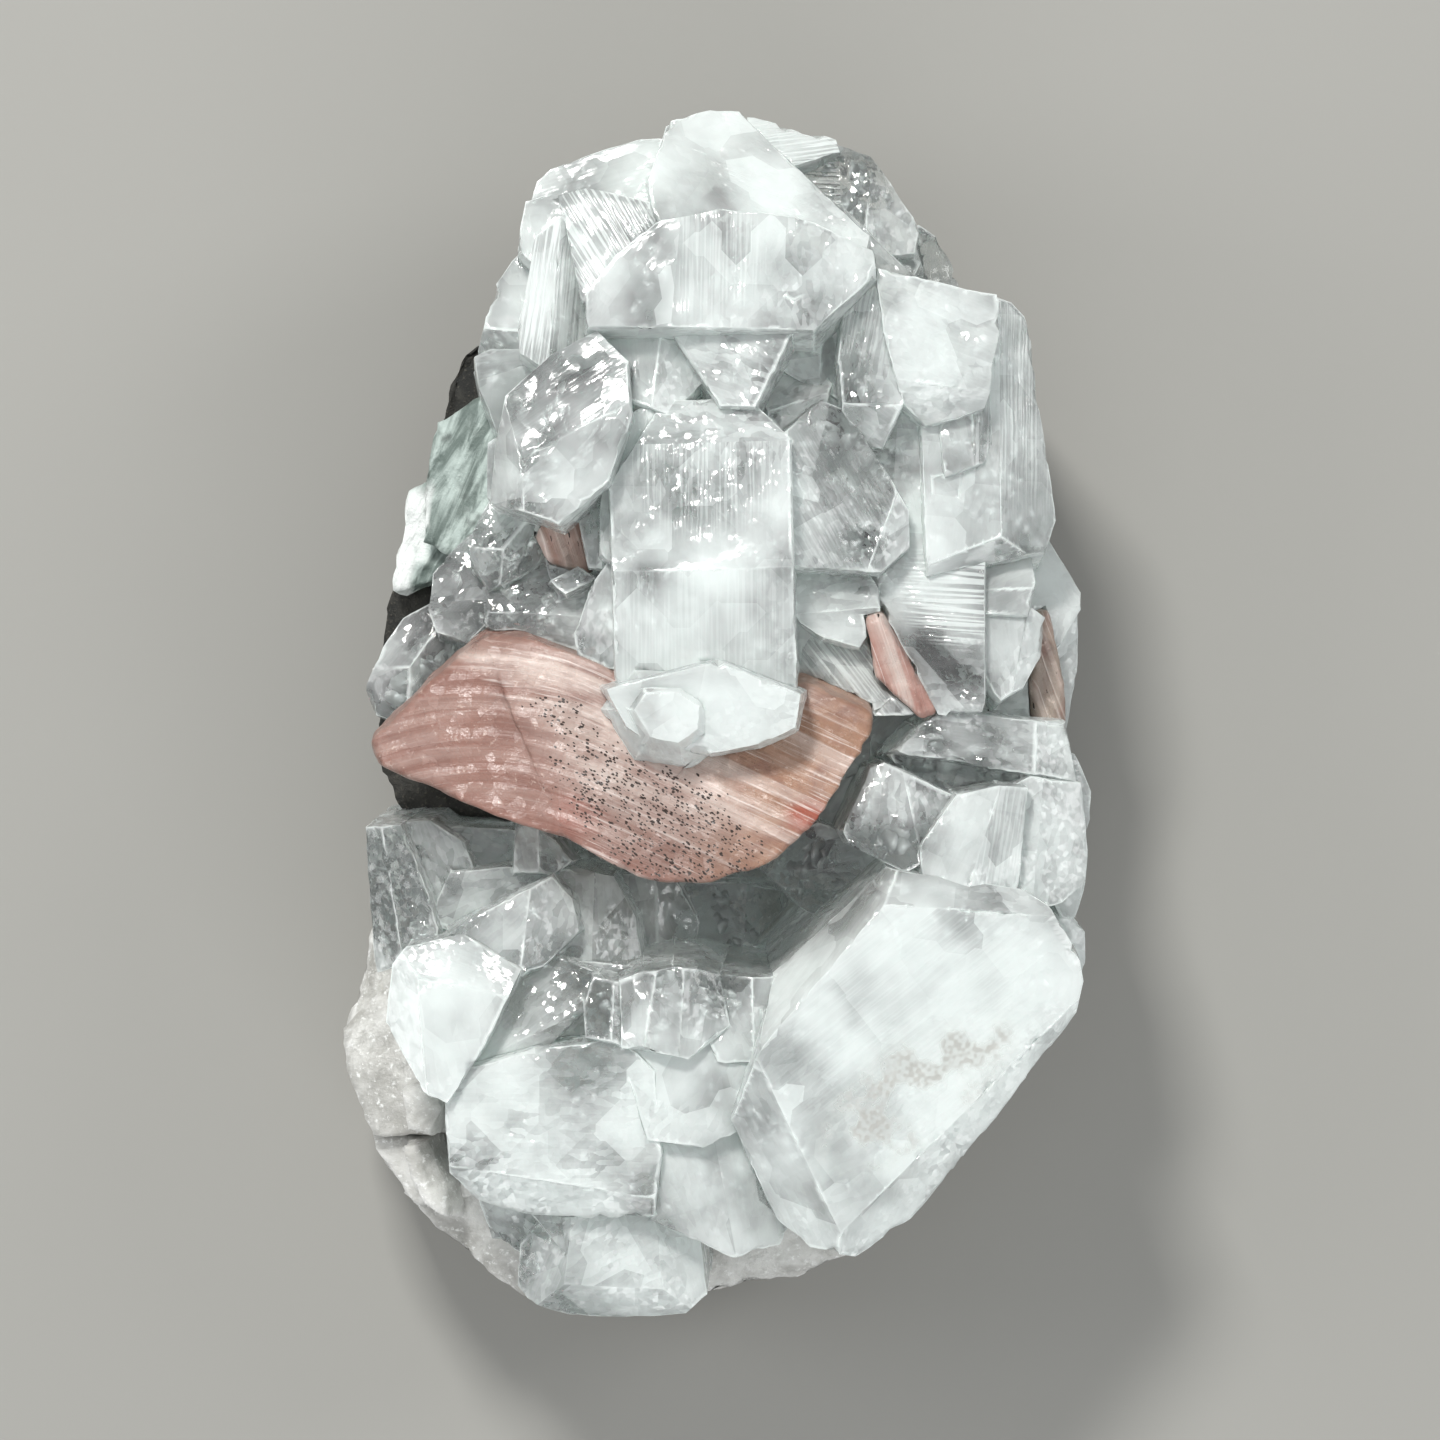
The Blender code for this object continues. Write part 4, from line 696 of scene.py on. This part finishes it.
def stilbite_material(name="stilbite", rose="#8F6C61", tan="#9E7B66"):
    """Stilbite, grown as a sheaf of thin pearly blades. The eye sees rose to tan fibres with silky pale
    bands, a painted pearly sheen of pale stripes along the fibres, a rusty stain, dark mineral specks and a
    faint glow under the surface."""
    s = Shader(name)
    where = s.add("TexCoord", out="Object")
    along = s.add("UVMap", uv_map="along")
    tone, pale, rust, specks, fibrous = s.read("tone", "pale", "rust", "specks", "fibrous")
    fibre_place = s.add("VectorMath", {0: along, 1: FIBRES}, **TIMES)
    band_place = s.add("VectorMath", {0: along, 1: BANDS}, **TIMES)
    speck_place = s.add("VectorMath", {0: along, 1: SPECKS}, **TIMES)
    sockets = ("Vector", "Scale", "Detail", "Roughness", "Distortion")
    fibre, band, blotch, grain, swarm = (
        s.add("TexNoise", dict(zip(sockets, values)))
        for values in (
            (fibre_place, 1.0, 4.0, 0.65, 0.25),
            (band_place, 1.0, 3.0, 0.5, 0.5),
            (where, BLOTCHES, 4.0, 0.65, 0.5),
            (where, GRAINS, 3.0, 0.65, 0.0),
            (where, SPECK_SWARMS, 2.0, 0.6, 0.0),
        )
    )

    # Each layer of colour lies over the one before by its own share.
    # The second of these shares is how much painted sheen the fibres get.
    silky, painted_sheen_share, ridged = (
        s.add("MapRange", {0: fibrous, 3: least, 4: most}, **SMOOTH)
        for least, most in ((0.2, 0.55), (0.15, 0.8), (0.3, 1.0))
    )
    silky_band = s.add("MapRange", {0: band, 1: 0.42, 2: 0.66}, **SMOOTH)
    silky_band = s.add("Math", {0: silky_band, 1: silky}, **TIMES)
    pale_patch = s.add("MapRange", {0: blotch, 1: 0.3, 2: 0.65, 3: 1.0, 4: 0.45}, **SMOOTH)
    pale_patch = s.add("Math", {0: pale, 1: pale_patch}, **TIMES)
    # Painted sheen: pale stripes along the fibres stand in for the pearly light that the blades reflect.
    painted_sheen = s.add("MapRange", {0: fibre, 1: 0.52, 2: 0.72}, **SMOOTH)
    painted_sheen = s.add("Math", {0: painted_sheen, 1: painted_sheen_share}, **TIMES)
    dots = s.add("TexVoronoi", {"Vector": speck_place, "Scale": 1.0}, out=None)
    chance = s.add("SeparateColor", {0: dots.outputs["Color"]})
    swarm = s.add("MapRange", {0: swarm, 1: 0.34, 2: 0.52, 3: 0.4, 4: 1.7}, **SMOOTH)
    wanted = s.add("Math", {0: specks, 1: swarm}, **TIMES)
    size = s.add("MapRange", {0: grain, 1: 0.35, 2: 0.65, 3: 0.2, 4: 0.46}, **SMOOTH)
    near = s.add("Math", {0: dots.outputs["Distance"], 1: size}, operation="LESS_THAN")
    speck = s.add("Math", {0: chance, 1: wanted}, operation="LESS_THAN")
    colour = linear(rose)
    for share, layer in (
        (tone, tan),
        (s.add("MapRange", {0: blotch, 1: 0.42, 2: 0.7, 3: 0.0, 4: 0.7}, **SMOOTH), "#7A564C"),
        (rust, "#9A4A3A"),
        (s.add("Math", {0: silky_band, 1: pale_patch}, use_clamp=True, **PLUS), "#C9B8AF"),
        (painted_sheen, "#E8DCD5"),
        (s.add("MapRange", {0: grain, 1: 0.6, 2: 0.75, 3: 0.0, 4: 0.5}, **SMOOTH), "#E6D2C6"),
        (s.add("Math", {0: specks, 1: 0.3}, **TIMES), "#6B564C"),
        (s.add("Math", {0: near, 1: speck}, **TIMES), "#30231C"),
    ):
        colour = s.add("Mix", {0: share, 6: colour, 7: linear(layer)}, **COLOUR)

    # Each pearly cell has its own tilt: height = 0.3 * (place - middle) . (random vector - 0.5).
    pearly = s.add("TexVoronoi", {"Vector": where, "Scale": PEARLY_CELLS}, out=None)
    away = s.add("VectorMath", {0: where, 1: pearly.outputs["Position"]}, **LESS)
    lean = s.add("VectorMath", {0: pearly.outputs["Color"], 1: HALF}, **LESS)
    tilt = s.add("VectorMath", {0: away, 1: lean}, out="Value", operation="DOT_PRODUCT")
    tilt = s.add("Math", {0: tilt, 1: 0.3}, **TIMES)
    normal = s.add("Bump", {"Height": tilt, "Distance": 1.0, "Strength": 1.0})
    height = s.add("Math", {0: fibre, 1: ridged}, **TIMES)
    for value, amount in ((grain, 0.5), (band, 1.2)):
        term = s.add("Math", {0: value, 1: amount}, **TIMES)
        height = s.add("Math", {0: height, 1: term}, **PLUS)
    s.set(
        Base_Color=colour,
        Roughness=s.add("MapRange", {0: blotch, 1: 0.3, 2: 0.7, 3: 0.25, 4: 0.42}, **SMOOTH),
        IOR=1.5,
        Subsurface_Weight=0.25,
        Subsurface_Radius=(1.0, 0.6, 0.5),
        Subsurface_Scale=0.0008,
        Normal=s.add("Bump", {"Height": height, "Distance": 0.00014, "Strength": 0.9, "Normal": normal}),
    )
    return s.material


def stilbite(node, name, material, line, marks):
    """A stilbite piece. Each point moves out by growth + 0.10 * ridges of 0.55 mm along the fibres
    + 0.08 * noise of 1.6 mm. line gives each point's place across the fibres, and marks each marking."""
    points, tris = solid_mesh(node)
    facet = facets_of(points, tris, ONE_FOLD)
    points, tris, facet = halved(points, tris, facet, STILBITE_EDGE)
    points = relaxed(points, tris, 8)
    if node == "stilbite_sheaf":
        # The real sheaf flows over the step between its two blades.
        step = oval(points, -13.3, -1.0, 11.0, 3.6, 113) * (points[:, 2] > 25)
        points = relaxed(points, tris, 90, 0.5 * step[:, None])
    across = line(points)
    bundle = np.stack([across, np.zeros_like(across), points[:, 0] * 0.12], axis=1)
    shift = GROWTH + 0.10 * lattice_noise(bundle, 0.55, SEED + 5)
    shift += 0.08 * layered_noise(points, 1.6, SEED + 6)
    points = points + point_normals(points, tris) * shift[:, None]
    obj = make_object(name, points, tris, material)
    uv = np.stack([points[:, 0] + 0.3 * points[:, 2], across], axis=1) / UV_SPAN
    set_uv(obj, uv[tris])
    set_sharp(obj, tris, np.zeros(len(tris), int))
    for mark, amount in marks(points).items():
        set_value(obj, mark, np.broadcast_to(amount, len(points)))
    dress(obj, node)


def stone_material(name, dark, light, speck, size, rough, bump, soft=0.0):
    """A broken stone. The eye sees two tones in patches, paler grains a ninth of their size and a rough
    break."""
    s = Shader(name)
    where = s.add("TexCoord", out="Object")
    patch = s.add(
        "TexNoise", {"Vector": where, "Scale": size, "Detail": 5.0, "Roughness": 0.65, "Distortion": 0.4}
    )
    grain = s.add("TexNoise", {"Vector": where, "Scale": size * 9, "Detail": 3.0, "Roughness": 0.7})
    share = s.add("MapRange", {0: patch, 1: 0.35, 2: 0.65}, **SMOOTH)
    colour = s.add("Mix", {0: share, 6: linear(dark), 7: linear(light)}, **COLOUR)
    share = s.add("MapRange", {0: grain, 1: 0.55, 2: 0.72}, **SMOOTH)
    share = s.add("Math", {0: share, 1: 0.8}, **TIMES)
    height = s.add("Math", {0: patch, 1: s.add("Math", {0: grain, 1: 0.5}, **TIMES)}, **PLUS)
    s.set(
        Base_Color=s.add("Mix", {0: share, 6: colour, 7: linear(speck)}, **COLOUR),
        Roughness=rough,
        IOR=1.54,
        Subsurface_Weight=soft,
        Subsurface_Radius=(1.0, 1.0, 1.0),
        Subsurface_Scale=0.0015,
        Normal=s.add("Bump", {"Height": height, "Distance": bump, "Strength": 0.9}),
    )
    return s.material


def band_material():
    """A crust laid down in layers. The eye sees pale green bands that run up the side, dark gaps between
    them and a chalky white outer rim."""
    s = Shader("banded_crust")
    where = s.add("TexCoord", out="Object")
    (rim,) = s.read("rim")
    turned = s.add("Mapping", {"Vector": where, "Rotation": (0.0, 0.0, math.radians(28))})
    turned = s.add("VectorMath", {0: turned, 1: CRUST_LAYERS}, **TIMES)
    layer = s.add(
        "TexNoise", {"Vector": turned, "Scale": 1.0, "Detail": 4.0, "Roughness": 0.6, "Distortion": 0.6}
    )
    patch = s.add("TexNoise", {"Vector": where, "Scale": CRUST_PATCHES, "Detail": 3.0, "Roughness": 0.6})
    grain = s.add("TexNoise", {"Vector": where, "Scale": CRUST_GRAINS, "Detail": 3.0, "Roughness": 0.7})
    colour = linear("#64716B")
    for share, tone in (
        (s.add("MapRange", {0: layer, 1: 0.38, 2: 0.62}, **SMOOTH), "#B4C1BB"),
        (s.add("MapRange", {0: patch, 1: 0.56, 2: 0.7, 3: 0.0, 4: 0.8}, **SMOOTH), "#3A423D"),
        (s.add("MapRange", {0: rim, 1: 0.2, 2: 0.9}, **SMOOTH), "#E9EDEA"),
    ):
        colour = s.add("Mix", {0: share, 6: colour, 7: linear(tone)}, **COLOUR)
    height = s.add("Math", {0: layer, 1: s.add("Math", {0: grain, 1: 0.4}, **TIMES)}, **PLUS)
    bump = s.add("Bump", {"Height": height, "Distance": 0.0003, "Strength": 0.9})
    s.set(Base_Color=colour, Roughness=0.5, IOR=1.54, Normal=bump)
    return s.material


def rough_stone(node, name, material, sizes, seed, floor=True):
    """A broken stone. Each point moves out by growth + the sum of strength * noise over the sizes, which
    fades to nothing over the lowest 1.5 mm where the stone rests on the floor."""
    points, tris = solid_mesh(node)
    facet = facets_of(points, tris)
    points, tris, facet = halved(points, tris, facet, STONE_EDGE)
    shift = sum(
        strength * layered_noise(points, size, seed + i) for i, (size, strength) in enumerate(sizes)
    )
    shift = (shift + GROWTH) * (eased(0.0, 1.5, points[:, 2]) if floor else 1.0)
    points = points + point_normals(points, tris) * shift[:, None]
    points[:, 2] = np.maximum(points[:, 2], 0.0)
    obj = make_object(name, points, tris, material)
    set_sharp(obj, tris, np.zeros(len(tris), int))
    dress(obj, node)
    return obj, points


def stones():
    """The dark basalt, the grey crust with a soft waxy glow, and the banded crust with its white rim."""
    dark = stone_material("basalt", "#161714", "#34332E", "#5A564C", BASALT_PATCHES, 0.8, 0.0004)
    rough_stone("basalt_matrix", "basalt", dark, [(4.0, 0.35), (1.2, 0.2)], SEED + 11)
    tones = ("#A8A7A2", "#D3D3CF", "#F1F2F0")
    grey = stone_material("chalcedony", *tones, CHALCEDONY_PATCHES, 0.32, 0.0003, 0.8)
    rough_stone("chalcedony_crust", "chalcedony", grey, [(3.5, 0.3), (1.0, 0.16)], SEED + 12)
    sizes = [(3.0, 0.3), (0.9, 0.2)]
    obj, points = rough_stone(
        "banded_crust", "banded", band_material(), sizes, SEED + 13, False
    )
    outline = -22.6 + 0.21 * (points[:, 1] - 3.0)
    inward = points[:, 0] - outline + 0.8 * layered_noise(points, 1.5, SEED)
    lower = eased(17.0, 13.0, points[:, 1])
    set_value(obj, "rim", lower * (1 - eased(0.4, 2.0, inward)))


def sheaf_marks(p):
    """The big sheaf: rose on the left and tan on the right, pale and specked across the middle, with two
    stains of rust."""
    pale = np.maximum(oval(p, -5, -3.5, 11, 4.5, -28), oval(p, -11.5, 2.6, 7, 1.8, -14))
    specks = 1.1 * oval(p, -3.5, -7.5, 10, 4.6, -34) + 0.5 * oval(p, -10, -0.3, 3.5, 1.6, -25)
    rust = 0.8 * oval(p, 6.0, -6.8, 2.2, 1.6, 0) + 0.3 * oval(p, -9.0, -6.6, 2.5, 2.0, 0)
    fibrous = np.clip(eased(-12, -6, p[:, 0]) + oval(p, -12, 2.6, 8, 2.6, -14), 0, 1)
    tone = eased(-4, 3, p[:, 0])
    return {"tone": tone, "pale": 0.8 * pale, "rust": rust, "specks": specks, "fibrous": fibrous}


def plain_marks(tone, pale, rust):
    """The marks of a small piece, the same all over."""

    def marks(points):
        return {"tone": tone, "pale": pale, "rust": rust, "specks": 0.05, "fibrous": 1.0}

    return marks


def upright(points):
    """How far a point lies across fibres that run up the picture and lean a little to the left."""
    return points[:, 0] + 0.35 * points[:, 1]


def sheaves():
    """The four pieces of stilbite. The fan on the right is weathered brown."""
    material = stilbite_material()
    brown = stilbite_material("weathered_stilbite", "#85776A", "#93867A")
    stilbite("stilbite_sheaf", "sheaf", material, sheaf_line, sheaf_marks)
    stilbite("stilbite_sliver", "sliver", material, upright, plain_marks(0.3, 0.45, 0.6))
    stilbite("stilbite_fan", "fan", brown, upright, plain_marks(1.0, 0.1, 0.0))
    stilbite("stilbite_patch", "patch", material, upright, plain_marks(0.4, 0.3, 0.1))


def area_light(name, place, aim, size, watts, colour=(1, 1, 1)):
    """A soft light at a place in mm that faces the aim, with its size in metres."""
    light = bpy.data.lights.new(name, "AREA")
    light.shape = "RECTANGLE"
    light.size, light.size_y = size
    light.energy = watts
    light.color = colour
    obj = bpy.data.objects.new(name, light)
    obj.location = Vector(place) * MM
    obj.rotation_euler = (Vector(aim) - Vector(place)).to_track_quat("-Z", "Y").to_euler()
    bpy.context.scene.collection.objects.link(obj)


def studio():
    """A pale floor, soft light from the top of the picture, weaker light round it, and the camera."""
    s = Shader("studio_floor")
    s.set(Base_Color=linear("#989792"), Roughness=0.9)
    side = 1500.0
    corners = np.array([(-side, -side, 0), (side, -side, 0), (side, side, 0), (-side, side, 0)])
    floor = make_object("floor", corners - (0, 0, 0.02), np.array([(0, 1, 2), (0, 2, 3)]), s.material)

    world = bpy.data.worlds.new("studio")
    bpy.context.scene.world = world
    world.use_nodes = True
    world.node_tree.nodes["Background"].inputs[0].default_value = (0.93, 0.96, 1.0, 1.0)
    world.node_tree.nodes["Background"].inputs[1].default_value = 0.45

    aim = (0, 0, 15)
    area_light("key", (-160, 420, 560), aim, (0.13, 0.11), 4.2, (1.0, 0.99, 0.97))
    area_light("left", (-480, 60, 330), aim, (0.2, 0.4), 0.8)
    area_light("right", (460, 200, 420), aim, (0.18, 0.35), 0.8)
    area_light("front", (120, -480, 420), aim, (0.5, 0.25), 1.3)

    camera = bpy.data.objects.new("camera", bpy.data.cameras.new("camera"))
    camera.data.sensor_width = SENSOR_WIDTH
    camera.data.lens = SENSOR_WIDTH * CAMERA_DISTANCE / PICTURE_WIDTH
    camera.data.clip_end = 10.0
    camera.location = Vector((CAMERA_AIM[0], CAMERA_AIM[1], CAMERA_AIM[2] + CAMERA_DISTANCE)) * MM
    bpy.context.scene.collection.objects.link(camera)
    bpy.context.scene.camera = camera
    bpy.context.scene.view_settings.view_transform = "Standard"
    # Six bounces carry the light through a crystal and back out, and more only cost time.
    bpy.context.scene.cycles.max_bounces = 6


points, tris = crystals()
veils(points, tris)
sheaves()
stones()
studio()
